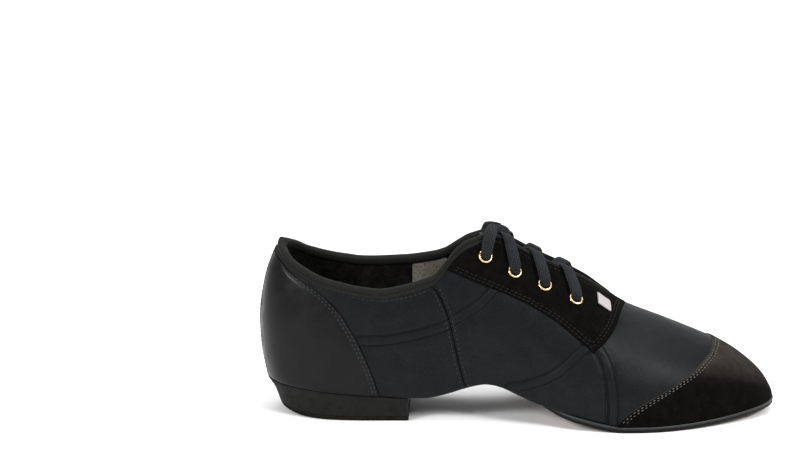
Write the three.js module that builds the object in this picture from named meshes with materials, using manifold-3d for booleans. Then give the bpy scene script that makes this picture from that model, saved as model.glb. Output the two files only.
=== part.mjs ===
// A man's low lace-up dance practice shoe for the right foot, with a split sole.
//
// Millimetres, +Z up. The toe points along +X and the inner (medial) side is +Y. The shoe stands on z = 0.
// The skin of the shoe is one smooth surface. A place on it is a station, x millimetres from the heel's back,
// and a rise in degrees up the side wall: 0 at the feather line, where upper meets sole, and 90 on the crest.
// Every panel of the upper is a patch of that surface with a thickness, cut along the shoe's real seams.
import * as THREE from "three";
import { mergeVertices } from "three/addons/utils/BufferGeometryUtils.js";
import Module from "manifold-3d";

const wasm = await Module();
wasm.setup();

// ---- Driving dimensions ------------------------------------------------------------------------------------
const LENGTH = 286; // heel's back to toe tip
const PATTERN_LENGTH = 286; // the length that the tables below are drawn at
const BALL_BREADTH = 89; // across the feather line at the ball of the foot
const PATTERN_BREADTH = 89;
const INSTEP_HEIGHT = 95; // crest of the closed throat above the base line, at the top eyelets
const PATTERN_HEIGHT = 95;

const SEAT_BACK = 18.8; // floor to the heel seat at the back
const SEAT_FRONT = 13; // floor to the heel seat at the heel's front face
const HEEL_LENGTH = 83; // station of the heel's front face
const HEEL_TIP_THICKNESS = 2.5;
const OUTSOLE_THICKNESS = 1.7;
const MIDSOLE_THICKNESS = 1.1;
const OUTSOLE_REAR = 151; // station where the forefoot sole begins
const SOLE_FLANGE = 1.2; // how far the forefoot sole stands out past the feather line

const OVERLAY_PROUD = 0.9; // leather and suede stand this far above the fabric's face
const OVERLAY_DEPTH = 1.0;
const FABRIC_THICKNESS = 2.3;
const FACING_DEPTH = 2.3;
const STIFFENER_THICKNESS = 0.8;
const LINING_THICKNESS = 0.8;
const BOARD_THICKNESS = 2.4;
const FOREFOOT_BOARD_THICKNESS = 1.4;
const SOCK_THICKNESS = 1.6;
const TONGUE_THICKNESS = 2.2;
const BINDING_WIDTH = 5;
const STAY_HALF_WIDTH = 5; // of the strip up the heel's back

const GAP = 0.3; // between pieces that touch
const LAYER_GAP = 0.45; // between layers that lie on each other

const EYELET_SIDES = 10;
const EYELET_BORE = 2.6;
const EYELET_BARREL = 3.1;
const EYELET_FLANGE = 4;
const EYELET_FLANGE_THICKNESS = 0.7;
const DRILL_LENGTH = 12;
const EYELET_SEAT = 0.6; // from the flat inner flange to the facing, which is curved
const LACE_RADIUS = 0.9; // of a plain round stand-in for the flat lace
const AGLET_LENGTH = 14;
const AGLET_RADIUS = 1.4;
const AGLET_SIDES = 8;
const NAIL_RADIUS = 0.9;
const NAIL_HEAD_RADIUS = 2.6;
const NAIL_HEAD_THICKNESS = 0.8;
const NAIL_LENGTH = 12;

// Depths below the fabric's face where the inner layers begin.
const STIFFENER_FACE = OVERLAY_DEPTH + LAYER_GAP;
const LINING_FACE = Math.max(STIFFENER_FACE + STIFFENER_THICKNESS, FABRIC_THICKNESS) + LAYER_GAP;
const LINING_BACK = LINING_FACE + LINING_THICKNESS;
const INNER_INSET = LINING_BACK + 2 * GAP; // from the feather line to the boards
const LACE_UNDER = FACING_DEPTH + EYELET_SEAT + EYELET_FLANGE_THICKNESS + GAP + LACE_RADIUS; // under the facings
const LACE_OVER = OVERLAY_PROUD + EYELET_FLANGE_THICKNESS + 2 * GAP + LACE_RADIUS; // above them
const TONGUE_FACE = LACE_UNDER + LACE_RADIUS + LAYER_GAP;

// ---- The surface -------------------------------------------------------------------------------------------
const stretch = LENGTH / PATTERN_LENGTH;
const widen = BALL_BREADTH / PATTERN_BREADTH;
const lift = INSTEP_HEIGHT / PATTERN_HEIGHT;

const turnOf = (x) => Math.acos(THREE.MathUtils.clamp(1 - (2 * x) / LENGTH, -1, 1)) / Math.PI;
const stationOf = (turn) => (LENGTH * (1 - Math.cos(Math.PI * turn))) / 2;
const scaled = (rows, factor) => rows.map(([x, v]) => [x * stretch, v * factor]);
const byTurn = (rows) => rows.map(([x, v]) => [turnOf(x), v]);

// A smooth curve through rows of [place, value].
function along(rows, place) {
  const last = rows.length - 1;
  if (place <= rows[0][0]) return rows[0][1];
  if (place >= rows[last][0]) return rows[last][1];
  const k = rows.findIndex((row) => row[0] > place) - 1;
  const slope = (i) => {
    const a = rows[Math.max(i - 1, 0)];
    const b = rows[Math.min(i + 1, last)];
    return (b[1] - a[1]) / (b[0] - a[0]);
  };
  const span = rows[k + 1][0] - rows[k][0];
  const t = (place - rows[k][0]) / span;
  const s = 1 - t;
  return (
    rows[k][1] * s * s * (1 + 2 * t) +
    rows[k + 1][1] * t * t * (1 + 2 * s) +
    slope(k) * span * s * s * t -
    slope(k + 1) * span * t * t * s
  );
}

// Half breadths of the feather line, outer (lateral) and inner (medial) side, by station.
const HALF_LATERAL = byTurn(scaled([
  [0, 0], [10, 19.5], [30, 28.5], [50, 30.5], [80, 30], [110, 31], [130, 33.5], [150, 38], [170, 43.5],
  [190, 47.5], [205, 48], [220, 46], [235, 41.5], [250, 35], [262, 28.5], [272, 21.8], [280, 14.5], [286, 0],
], widen));
const HALF_MEDIAL = byTurn(scaled([
  [0, 0], [10, 19.5], [30, 28.5], [50, 30], [70, 28], [90, 24.5], [110, 22.5], [130, 23], [150, 27], [170, 33.5],
  [190, 39], [205, 41], [220, 40.5], [235, 37.5], [250, 32], [262, 26], [272, 20], [280, 13.5], [286, 0],
], widen));
// How far the middle line bends to the inner side.
const MIDDLE = scaled([[0, 0], [70, 0], [130, 2], [200, 4], [286, 6]], widen);
// The base line falls from the heel seat to the ball and springs up at the toe.
const soleStack = OUTSOLE_THICKNESS + MIDSOLE_THICKNESS + GAP;
const heelFront = HEEL_LENGTH * stretch;
const seat = (x) => SEAT_BACK + ((SEAT_FRONT - SEAT_BACK) * x) / heelFront;
const FALL = [[83, 1], [125, 0.65], [160, 0.3], [195, 0], [215, 0]];
const TOE_SPRING = [[205, 0], [215, 0], [240, 0.8], [262, 2.2], [286, 4.4]];
const base = (x) => {
  if (x < heelFront) return seat(x);
  const fall = (SEAT_FRONT - soleStack) * Math.max(0, along(FALL, x / stretch));
  return soleStack + fall + Math.max(0, along(TOE_SPRING, x / stretch));
};
// The feather line rises above the base line in the waist, where there is no sole.
const ARCH = scaled([
  [83, 0], [95, 1.6], [105, 5], [116, 9.6], [125, 12.2], [133, 11.7], [142, 8.9], [152, 6], [168, 3.2], [185, 0.9],
  [196, 0],
], 1);
const feather = (x) => base(x) + Math.max(0, along(ARCH, x));
// Height of the crest above the base line: a closed top that the collar is cut out of at the back.
const CREST = byTurn(scaled([
  [0, 99], [60, 105], [100, 105], [115, 101], [128, 94.5], [140, 88], [152, 82.5], [166, 77], [180, 70.5], [190, 64],
  [202, 57], [223, 49], [235, 44], [246, 38.8], [254, 34.6], [263, 28.8], [271, 22.4], [279, 14], [284, 6.2], [286, 0],
], lift));
// The heel's back bulges, and leans forward at the top: shift of the wall by height above the floor.
const HEEL_CURVE = [[18, 4], [34, 1], [48, 0], [58, 0.3], [69, 1.9], [78, 4], [85, 6.5], [98, 12]];
const HEEL_CURVE_REACH = 70;
const WALL_BULGE = 0.11;

// side is -1 for the lateral wall and 1 for the medial one; turn is the station as a turn from 0 to 1.
function onWall(side, turn, rise) {
  const x = stationOf(turn);
  const angle = THREE.MathUtils.degToRad(rise);
  const half = along(side < 0 ? HALF_LATERAL : HALF_MEDIAL, turn);
  const low = feather(x);
  const high = Math.max(base(x) + along(CREST, turn), low);
  const z = low + (high - low) * Math.sin(angle);
  const out = half * Math.cos(angle) * (1 + WALL_BULGE * Math.sin(2 * angle));
  const fade = Math.max(0, 1 - x / (HEEL_CURVE_REACH * stretch)) ** 2;
  return new THREE.Vector3(x + along(HEEL_CURVE, z) * fade, along(MIDDLE, x) + side * out, z);
}

// Two ways of going round the surface. over: from the lateral feather line (0) over the crest (90) to the medial one
// (180), for the forefoot. around: turn below 0 on the lateral side and above 0 on the medial one, for the heel.
const over = (turn, rise) => (rise <= 90 ? onWall(-1, turn, rise) : onWall(1, turn, 180 - rise));
const around = (turn, rise) => onWall(turn < 0 ? -1 : 1, Math.abs(turn), rise);

// The direction out of the shoe at a place on the surface. At the toe tip it is taken as straight ahead.
const TIP_TURN = 0.995;
const TIP_OUTWARD = new THREE.Vector3(1, 0, 0.15).normalize();
function outward(chart, turn, rise) {
  const [dt, dr] = [0.002, 0.4];
  const isOver = chart === over;
  if (turn > TIP_TURN) return TIP_OUTWARD.clone().multiplyScalar(isOver ? 1 : -1);
  const rear = isOver ? Math.max(turn - dt, 0.0005) : turn - dt;
  const lengthwise = chart(Math.min(turn + dt, 0.999), rise).sub(chart(rear, rise));
  const upwards = chart(turn, Math.min(rise + dr, isOver ? 180 : 89.9)).sub(chart(turn, Math.max(rise - dr, 0)));
  return lengthwise.cross(upwards).normalize().multiplyScalar(isOver ? 1 : -1);
}
const off = (chart, turn, rise, height) => chart(turn, rise).addScaledVector(outward(chart, turn, rise), height);

// ---- Seam lines: rows of [station, height above the base line] -----------------------------------------------
const TOPLINE_LATERAL = [
  [0, 77.5], [7.3, 72.4], [13.4, 69.5], [21, 66.8], [28, 64.4], [34, 62.6], [40, 61.4], [51, 59.7], [62, 58.7],
  [67.5, 58.7], [73, 59.6], [83.6, 62.8], [94.3, 67.3], [97.5, 69.5], [102.3, 75.4], [107.6, 82.4], [113, 87],
  [118.3, 89.3], [128, 91],
];
const TOPLINE_MEDIAL = [
  [0, 77.5], [10, 73.8], [21.7, 70], [34.7, 67.4], [50, 66.1], [59, 66.3], [70.6, 67.8], [82, 69.7],
  [93.6, 72.6], [99.3, 74.6], [103.3, 76.6], [108.9, 81], [114.5, 85.2], [120, 88], [128, 91],
];
const COUNTER_EDGE = [
  [9, 66.6], [16, 62.9], [24, 59.4], [30, 56.8], [35, 54.2], [40.4, 50.4], [46, 45], [50.3, 39], [55, 31.1],
  [60.4, 19.8], [64, 11.3], [67.5, 0],
];
const WAIST_SEAM = [
  [95.4, 63], [98.1, 60.5], [100.3, 56.8], [102.5, 52], [104.5, 46.3], [106.6, 38.1], [108.6, 29],
  [110.8, 19.8], [114, 9.5],
];
const FACING_LOWER = [
  [103.5, 71.8], [110.4, 69.9], [115.8, 68.1], [126.5, 64.9], [138.8, 61.4], [146.1, 59], [158.5, 53.4],
  [167.3, 48.2], [174.2, 43.3], [181.5, 38],
];
const FACING_FRONT = [[181.5, 38], [185.2, 41], [188.8, 44.2], [192.8, 48.6], [196.5, 53.2]];
const BALL_SEAM = [[181.5, 38], [184, 34.8], [186.3, 29.3], [187.8, 21], [188.4, 13], [188.5, 0]];
const CAP_SEAM = [
  [193, 0], [198, 5.8], [204, 10.6], [211, 14.8], [220.2, 19.4], [232.4, 24.9], [239.7, 28.9], [247, 33.2],
];
const CAP_CREST = 251.5;
const FACING_CREST = 203; // where the facings' front edge crosses the crest
const THROAT_END = 194; // front end of the throat opening
const THROAT_EDGE = [[136, 74], [155, 76], [170, 78], [182, 81], [190, 85]]; // station and rise in degrees
const EYELETS = [[123.9, 80.4], [139.8, 73.9], [156.1, 68.5], [172.8, 62.8]];

// A point of a seam line as [turn, rise].
function place([x, height]) {
  const station = x * stretch;
  const turn = turnOf(station);
  const low = feather(station);
  const high = base(station) + along(CREST, turn);
  const share = (base(station) + height * lift - low) / (high - low);
  return [turn, THREE.MathUtils.radToDeg(Math.asin(THREE.MathUtils.clamp(share, 0, 1)))];
}
const TURN_WEIGHT = 300; // makes a turn and a degree alike in size, so that a line's points are evenly spread
const lineOf = (points) => new THREE.SplineCurve(points.map(([t, r]) => new THREE.Vector2(t * TURN_WEIGHT, r)));
function joined(...lines) {
  const path = new THREE.CurvePath();
  lines.forEach((line) => path.add(line));
  return path;
}
const at = (line, t) => {
  const p = line instanceof THREE.CurvePath ? line.getPoint(t) : line.getPointAt(t);
  return [p.x / TURN_WEIGHT, p.y];
};
const reversed = (points) => [...points].reverse();
const mirrored = (points) => points.map(([t, r]) => [t, 180 - r]);
const straight = (a, b) => lineOf([a, b]);

// The point a given distance in millimetres below a point of one wall.
function lowered(side, [turn, rise], distance) {
  const step = onWall(side, turn, rise).distanceTo(onWall(side, turn, rise - 1));
  return [turn, rise - distance / step];
}
const COLLAR_END = 128; // station where the topline meets the throat
const topline = new Map([[-1, TOPLINE_LATERAL.map(place)], [1, TOPLINE_MEDIAL.map(place)]]);
// A point of the topline at a turn, or the point a distance below it.
const collarAt = (side, turn, distance) => lowered(side, [turn, along(topline.get(side), turn)], distance);
// The collar's line between two stations, a distance below the topline.
const STATION_STEP = 4;
function collarLine(side, from, to, distance) {
  const count = Math.max(1, Math.round((to - from) / STATION_STEP));
  return Array.from({ length: count + 1 }, (_, i) =>
    collarAt(side, turnOf((from + ((to - from) * i) / count) * stretch), distance));
}

// ---- Solids --------------------------------------------------------------------------------------------------
function meshOf(vertices, faces) {
  const geometry = new THREE.BufferGeometry();
  geometry.setAttribute("position", new THREE.Float32BufferAttribute(vertices.flatMap((v) => v.toArray()), 3));
  geometry.setIndex(faces.flat());
  const [a, b, c] = [new THREE.Vector3(), new THREE.Vector3(), new THREE.Vector3()];
  let volume = 0;
  for (const [i, j, k] of faces) {
    a.copy(vertices[i]);
    b.copy(vertices[j]);
    c.copy(vertices[k]);
    volume += a.dot(b.cross(c));
  }
  if (volume < 0) geometry.setIndex(faces.flatMap(([i, j, k]) => [i, k, j]));
  return geometry;
}

// A closed body between two grids of points with the same numbers of columns and rows.
// A last column of one repeated point, as at the toe tip, is one vertex of the mesh.
function between(outer, inner) {
  const columns = outer.length;
  const rows = outer[0].length;
  const vertices = [];
  const index = [outer, inner].map((grid) =>
    grid.map((column) => {
      const tip = column[0].distanceTo(column[rows - 1]) < 1e-3 && column[0].distanceTo(column[rows >> 1]) < 1e-3;
      if (tip) {
        vertices.push(column[0]);
        return column.map(() => vertices.length - 1);
      }
      return column.map((point) => vertices.push(point) - 1);
    }),
  );
  const faces = [];
  const quad = (a, b, c, d) => {
    if (a !== b && b !== c && a !== c) faces.push([a, b, c]);
    if (a !== c && c !== d && a !== d) faces.push([a, c, d]);
  };
  const [out, inn] = index;
  for (let i = 0; i < columns - 1; i++) {
    for (let j = 0; j < rows - 1; j++) {
      quad(out[i][j], out[i + 1][j], out[i + 1][j + 1], out[i][j + 1]);
      quad(inn[i][j], inn[i][j + 1], inn[i + 1][j + 1], inn[i + 1][j]);
    }
    quad(out[i][0], inn[i][0], inn[i + 1][0], out[i + 1][0]);
    quad(out[i][rows - 1], out[i + 1][rows - 1], inn[i + 1][rows - 1], inn[i][rows - 1]);
  }
  const closed = out[columns - 1][0] === out[columns - 1][rows - 1];
  for (let j = 0; j < rows - 1; j++) {
    quad(out[0][j], out[0][j + 1], inn[0][j + 1], inn[0][j]);
    if (!closed) quad(out[columns - 1][j], inn[columns - 1][j], inn[columns - 1][j + 1], out[columns - 1][j + 1]);
  }
  return meshOf(vertices, faces);
}

// The four edges of a patch filled in smoothly, as columns of [turn, rise]. Each edge is drawn in by trim millimetres.
function filled(chart, { rear, front, bottom, top }, columns, rows, trim) {
  const corner = [at(rear, 0), at(front, 0), at(rear, 1), at(front, 1)];
  const inside = (s, t) => {
    const [l, r, b, u] = [at(rear, t), at(front, t), at(bottom, s), at(top, s)];
    return [0, 1].map(
      (k) =>
        (1 - s) * l[k] + s * r[k] + (1 - t) * b[k] + t * u[k] -
        (1 - s) * ((1 - t) * corner[0][k] + t * corner[2][k]) - s * ((1 - t) * corner[1][k] + t * corner[3][k]),
    );
  };
  const reach = (a, b) => chart(...a).distanceTo(chart(...b));
  const drawnIn = (value, size, [first, last]) => {
    const [low, high] = [Math.min(first / size, 0.3), 1 - Math.min(last / size, 0.3)];
    return low + value * (high - low);
  };
  return Array.from({ length: columns + 1 }, (_, i) =>
    Array.from({ length: rows + 1 }, (_, j) => {
      const [s, t] = [i / columns, j / rows];
      const across = reach(inside(0, t), inside(1, t));
      const upward = reach(inside(s, 0), inside(s, 1));
      return inside(drawnIn(s, across, trim.slice(0, 2)), drawnIn(t, upward, trim.slice(2)));
    }),
  );
}
const EDGES = [GAP / 2, GAP / 2, 0, GAP / 2]; // trims at rear, front, bottom and top
const shell = (chart, grid, face, back) =>
  between(...[face, back].map((depth) => grid.map((column) => column.map(([t, r]) => off(chart, t, r, -depth)))));

const solidOf = (geometry) => {
  const bare = geometry.clone();
  bare.deleteAttribute("normal");
  bare.deleteAttribute("uv");
  const merged = mergeVertices(bare, 1e-4);
  return new wasm.Manifold(new wasm.Mesh({
    numProp: 3, vertProperties: merged.attributes.position.array, triVerts: new Uint32Array(merged.index.array),
  }));
};
const geometryOf = (solid) => {
  const mesh = solid.getMesh();
  const geometry = new THREE.BufferGeometry();
  geometry.setAttribute("position", new THREE.Float32BufferAttribute(mesh.vertProperties, 3));
  geometry.setIndex(new THREE.Uint32BufferAttribute(mesh.triVerts, 1));
  return geometry;
};
const drilled = (geometry, drills) =>
  geometryOf(drills.reduce((solid, drill) => solid.subtract(solidOf(drill)), solidOf(geometry)));

// ---- Materials -----------------------------------------------------------------------------------------------
const material = (color, roughness, metalness = 0) => new THREE.MeshStandardMaterial({ color, roughness, metalness });
const FABRIC = material(0x14181a, 0.75);
const LEATHER = material(0x0c0c0d, 0.35);
const SUEDE = material(0x060505, 0.95);
const BINDING = material(0x1d1d1a, 0.85);
const LINING = material(0x14130f, 0.9);
const MESH_LINING = material(0x6f6a5c, 0.9);
const BOARD = material(0x8a7a60, 0.9);
const RUBBER = material(0x151513, 0.8);
const BRASS = material(0xc9a24a, 0.3, 1);
const STEEL = material(0x9a9a98, 0.4, 1);
const PLASTIC = material(0x101010, 0.3);
const LACE = material(0x101112, 0.9);
const TAG = material(0xd8d4d2, 0.8);

const shoe = new THREE.Group();
function add(name, geometry, finish, where) {
  const mesh = new THREE.Mesh(geometry, finish);
  mesh.name = name;
  if (where) mesh.applyMatrix4(where);
  shoe.add(mesh);
  return mesh;
}

// ---- Upper panels of one side ----------------------------------------------------------------------------------
const FACING_CORNER = FACING_LOWER[0][0];
const COUNTER_TOP = COUNTER_EDGE[0][0];
const LINING_FRONT = 84; // station where the heel lining ends
const backTurn = stayTurn(); // where the back strip ends

function stayTurn() {
  let x = 0;
  while (along(HALF_LATERAL, turnOf(x)) < STAY_HALF_WIDTH) x += 0.01;
  return turnOf(x);
}

for (const [side, sign] of [["lateral", -1], ["medial", 1]]) {
  const line = (points) => lineOf(sign < 0 ? points : mirrored(points));
  const ground = (from, to) => line([[from, 0], [to, 0]]);
  const collar = (from, to) => collarLine(sign, from, to, BINDING_WIDTH);
  // A seam from the feather line up to the collar's binding.
  const seam = (rows) => {
    const points = reversed(rows.map(place));
    points[0] = [points[0][0], 0];
    points[points.length - 1] = collarAt(sign, points.at(-1)[0], BINDING_WIDTH);
    return points;
  };
  const counterEdge = seam(COUNTER_EDGE);
  const waistSeam = seam(WAIST_SEAM);

  // Leather counter, from the back strip to the curved seam.
  const backTop = collarAt(sign, backTurn, BINDING_WIDTH);
  const counter = filled(over, {
    rear: line([[backTurn, 0], [backTurn, backTop[1] / 2], backTop]), front: line(counterEdge),
    bottom: ground(backTurn, counterEdge[0][0]), top: line([backTop, ...collar(COUNTER_TOP / 3, COUNTER_TOP)]),
  }, 10, 8, EDGES);
  add(`heel_counter_${side}`, shell(over, counter, -OVERLAY_PROUD, OVERLAY_DEPTH), LEATHER);

  const quarter = filled(over, {
    rear: line(counterEdge), front: line(waistSeam),
    bottom: ground(counterEdge[0][0], waistSeam[0][0]), top: line(collar(COUNTER_TOP, WAIST_SEAM[0][0])),
  }, 12, 8, EDGES);
  add(`rear_quarter_${side}`, shell(over, quarter, 0, FABRIC_THICKNESS), FABRIC);

  // Side of the vamp, from the waist seam to the ball seam, under the facing.
  const facingLower = FACING_LOWER.map(place);
  facingLower[0] = collarAt(sign, facingLower[0][0], BINDING_WIDTH);
  const ballSeam = reversed(BALL_SEAM.map(place));
  const vampSide = filled(over, {
    rear: line(waistSeam), front: line(ballSeam),
    bottom: ground(waistSeam[0][0], ballSeam[0][0]),
    top: joined(line(collar(WAIST_SEAM[0][0], FACING_CORNER)), line(facingLower)),
  }, 14, 8, EDGES);
  add(`vamp_side_${side}`, shell(over, vampSide, 0, FABRIC_THICKNESS), FABRIC);

  // Suede facing that carries the eyelets and closes the throat in front.
  const facingRear = collar(FACING_CORNER, COLLAR_END);
  const throatEnd = [turnOf(THROAT_END * stretch), 90];
  const facingTip = [turnOf(FACING_CREST * stretch), 90];
  const throatEdge = [facingRear.at(-1), ...THROAT_EDGE.map(([x, rise]) => [turnOf(x * stretch), rise]), throatEnd];
  const facing = filled(over, {
    rear: line(facingRear), front: line([...FACING_FRONT.map(place), facingTip]),
    bottom: line(facingLower), top: joined(line(throatEdge), line([throatEnd, facingTip])),
  }, 16, 6, [GAP / 2, GAP / 2, GAP / 2, GAP / 2]);
  const drill = new THREE.CylinderGeometry(EYELET_BARREL + GAP, EYELET_BARREL + GAP, DRILL_LENGTH, EYELET_SIDES);
  const frames = EYELETS.map((_, k) => eyeletFrame(sign, k));
  const drills = frames.map((frame) => drill.clone().applyMatrix4(frame));
  add(`facing_${side}`, drilled(shell(over, facing, -OVERLAY_PROUD, FACING_DEPTH), drills), SUEDE);
  frames.forEach((frame, k) => add(`eyelet_${side}_${k + 1}`, eyelet(), BRASS, frame));

  // Grey textile lining of the waist and vamp side.
  const liningRear = turnOf(LINING_FRONT * stretch);
  const [corner, ...lowerEdge] = facingLower.map((point) => lowered(sign, point, 1));
  const liningTop = collarLine(sign, LINING_FRONT, FACING_CORNER, 1);
  const quarterLining = filled(over, {
    rear: line([[liningRear, 0], liningTop[0]]), front: line([...ballSeam.slice(0, -1), lowerEdge.at(-1)]),
    bottom: ground(liningRear, ballSeam[0][0]),
    top: joined(line([...liningTop.slice(0, -1), corner]), line([corner, ...lowerEdge])),
  }, 12, 6, [GAP / 2, GAP / 2, 3, GAP / 2]);
  add(`quarter_lining_${side}`, shell(over, quarterLining, LINING_FACE, LINING_BACK), MESH_LINING);
}

// The frame of an eyelet: +Y is its axis, out of the shoe, and the origin is on the fabric's face.
function eyeletFrame(side, k) {
  const [turn, rise] = place(EYELETS[k]);
  const where = side < 0 ? [turn, rise] : [turn, 180 - rise];
  const turned = new THREE.Quaternion().setFromUnitVectors(new THREE.Vector3(0, 1, 0), outward(over, ...where));
  return new THREE.Matrix4().compose(over(...where), turned, new THREE.Vector3(1, 1, 1));
}

// A brass eyelet: a flange outside, a barrel through the facing and a rolled flange inside. Its axis is +Y.
function eyelet() {
  const top = OVERLAY_PROUD + GAP;
  const low = -FACING_DEPTH - EYELET_SEAT;
  const t = EYELET_FLANGE_THICKNESS;
  const profile = [
    [EYELET_BORE, low - t], [EYELET_FLANGE, low - t], [EYELET_FLANGE, low], [EYELET_BARREL, low],
    [EYELET_BARREL, top], [EYELET_FLANGE, top], [EYELET_FLANGE - t / 2, top + t], [EYELET_BORE, top + t],
  ];
  profile.push(profile[0]);
  return new THREE.LatheGeometry(profile.map(([r, y]) => new THREE.Vector2(r, y)), EYELET_SIDES);
}

// ---- Pieces that go round the heel or over the toes ------------------------------------------------------------
// The collar's binding, from the lateral facing round the heel to the medial one.
function collarRing(distances, columns) {
  const crown = lineOf([
    ...reversed(collarLine(-1, 0, COLLAR_END, 0)).map(([turn, rise]) => [-turn, rise]),
    ...collarLine(1, 0, COLLAR_END, 0).slice(1),
  ]);
  return Array.from({ length: columns + 1 }, (_, i) => {
    const [turn] = at(crown, i / columns);
    return distances.map((distance) => [turn, collarAt(turn < 0 ? -1 : 1, Math.abs(turn), distance)[1]]);
  });
}
const BINDING_TOP = 0.6; // the binding's fold stands above the linings
const bindingFoot = BINDING_WIDTH - GAP;
add("collar_binding", shell(
  around, collarRing([bindingFoot, (bindingFoot - BINDING_TOP) / 2, -BINDING_TOP], 48), -0.5, LINING_FACE - GAP,
), BINDING);

const STAY_CLEARANCE = 0.0016; // of a turn, to the counters at its sides
const stay = Array.from({ length: 5 }, (_, i) => {
  const turn = (backTurn - STAY_CLEARANCE) * (i / 2 - 1);
  const [, top] = collarAt(turn < 0 ? -1 : 1, Math.abs(turn), BINDING_WIDTH + GAP / 2);
  return Array.from({ length: 11 }, (_, j) => [turn, (top * j) / 10]);
});
add("back_stay", shell(around, stay, -OVERLAY_PROUD, OVERLAY_DEPTH), BINDING);

// A U-shaped piece inside the heel, from a front edge on one side to the one on the other.
const CUP_COLUMNS = 24;
const cup = (front, topAt, rows) =>
  Array.from({ length: CUP_COLUMNS + 1 }, (_, i) => {
    const turn = front * ((2 * i) / CUP_COLUMNS - 1);
    const top = topAt(turn < 0 ? -1 : 1, Math.abs(turn));
    return Array.from({ length: rows + 1 }, (_, j) => [turn, (top * j) / rows]);
  });
const STIFFENER_FRONT = 56;
const STIFFENER_RISE = 36;
const counterRise = COUNTER_EDGE.map(place);
const stiffenerTop = (side, turn) => Math.min(STIFFENER_RISE, along(counterRise, turn) - 7);
add("heel_stiffener", shell(
  around, cup(turnOf(STIFFENER_FRONT * stretch), stiffenerTop, 4), STIFFENER_FACE, STIFFENER_FACE + STIFFENER_THICKNESS,
), BOARD);
const liningTurn = turnOf(LINING_FRONT * stretch) - 0.001;
add("heel_lining",
  shell(around, cup(liningTurn, (side, turn) => collarAt(side, turn, 1)[1], 7), LINING_FACE, LINING_BACK), LINING);

// A seam over the forefoot, from the lateral foot over the crest to the medial foot.
const overCrest = (rows, crest) => {
  const half = rows.map(place);
  return [...half, [turnOf(crest * stretch), 90], ...mirrored(reversed(half))];
};
const capSeam = overCrest(CAP_SEAM, CAP_CREST);
const facingFront = FACING_FRONT.map(place);
const ballLine = BALL_SEAM.map(place);
const frontHalf = [...facingFront, [turnOf(FACING_CREST * stretch), 90]];
const vampRear = joined(
  lineOf(reversed(ballLine)), lineOf(frontHalf), lineOf(mirrored(reversed(frontHalf))), lineOf(mirrored(ballLine)));
const footLine = (rise) => straight([ballLine.at(-1)[0], rise], [capSeam[0][0], rise]);
const VAMP_CLEARANCE = 2 * GAP; // to the seam behind it, which bends sharply under the facing
const vampFront = filled(over, {
  rear: vampRear, front: lineOf(capSeam), bottom: footLine(0), top: footLine(180),
}, 5, 24, [VAMP_CLEARANCE, GAP / 2, 0, 0]);
add("vamp_front", shell(over, vampFront, 0, FABRIC_THICKNESS), FABRIC);

// From a line over the forefoot to the toe tip.
function toeGrid(rear, trim, columns, rows, end) {
  return Array.from({ length: columns + 1 }, (_, i) =>
    Array.from({ length: rows + 1 }, (_, j) => {
      const [turn, rise] = at(rear, j / rows);
      const share = (i / columns) * end;
      return [turn + trim + (1 - turn - trim) * share, rise + (180 * (j / rows) - rise) * share];
    }));
}
const TOE_ROWS = 20;
add("toe_cap", shell(over, toeGrid(lineOf(capSeam), 0.0015, 12, TOE_ROWS, 1), -OVERLAY_PROUD, OVERLAY_DEPTH), SUEDE);
add("toe_puff",
  shell(over, toeGrid(lineOf(overCrest([[222, 0], [236, 15], [247, 24]], 256)), 0.002, 9, TOE_ROWS, 1),
    STIFFENER_FACE, STIFFENER_FACE + STIFFENER_THICKNESS), BOARD);
const toeLiningRear = lineOf(overCrest([[197, 2], [198, 25], [199.5, 42]], 206));
add("toe_lining", shell(over, toeGrid(toeLiningRear, 0, 10, TOE_ROWS, 1), LINING_FACE, LINING_BACK), MESH_LINING);

// Tongue: lies under the facings and is sewn to the vamp's lining in front.
const TONGUE_REAR = 121;
const TONGUE_FRONT = 203;
const tongueDepth = (x) => along([[176, TONGUE_FACE], [192, TONGUE_FACE - 1], [203, LINING_BACK + LAYER_GAP]], x);
const tongueSurface = (extra) =>
  Array.from({ length: 11 }, (_, i) =>
    Array.from({ length: 9 }, (_, j) => {
      const x = TONGUE_REAR + ((TONGUE_FRONT - TONGUE_REAR) * i) / 10;
      const spread = along([[121, 34], [150, 33], [185, 24], [203, 18]], x);
      const turn = turnOf(x * stretch);
      return off(over, turn, 90 + spread * (j / 4 - 1), -tongueDepth(x) - extra);
    }));
add("tongue", between(tongueSurface(0), tongueSurface(TONGUE_THICKNESS)), FABRIC);

// Small blank woven tag on the lateral facing at the throat's front end.
const tagGrid = Array.from({ length: 4 }, (_, i) =>
  Array.from({ length: 3 }, (_, j) => [turnOf((184.8 + 2.2 * i) * stretch), 63.5 + 5 * j]));
add("throat_tag", shell(over, tagGrid, -OVERLAY_PROUD - LAYER_GAP - 1, -OVERLAY_PROUD - LAYER_GAP), TAG);

// ---- Lace --------------------------------------------------------------------------------------------------------
// A point by station, rise round the forefoot and height above the fabric's face.
const above = (x, rise, height) => off(over, turnOf(x * stretch), rise, height);
const LACE_SIDES = 6;
const LACE_STEPS = 160;
function round(radius, sides) {
  const corners = Array.from({ length: sides }, (_, i) => (2 * Math.PI * i) / sides);
  return new THREE.Shape(corners.map((angle) => new THREE.Vector2(radius * Math.cos(angle), radius * Math.sin(angle))));
}
const swept = (points, radius, steps, sides = LACE_SIDES) =>
  new THREE.ExtrudeGeometry(round(radius, sides), {
    extrudePath: new THREE.CatmullRomCurve3(points, false, "centripetal"), steps, bevelEnabled: false,
  });
const alongAxis = (side, k, height) => new THREE.Vector3(0, height, 0).applyMatrix4(eyeletFrame(side, k));

const CROSSING_LOWER = LACE_RADIUS + LAYER_GAP - TONGUE_FACE;
const CROSSING_UPPER = CROSSING_LOWER + 2 * LACE_RADIUS + LAYER_GAP;

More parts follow.
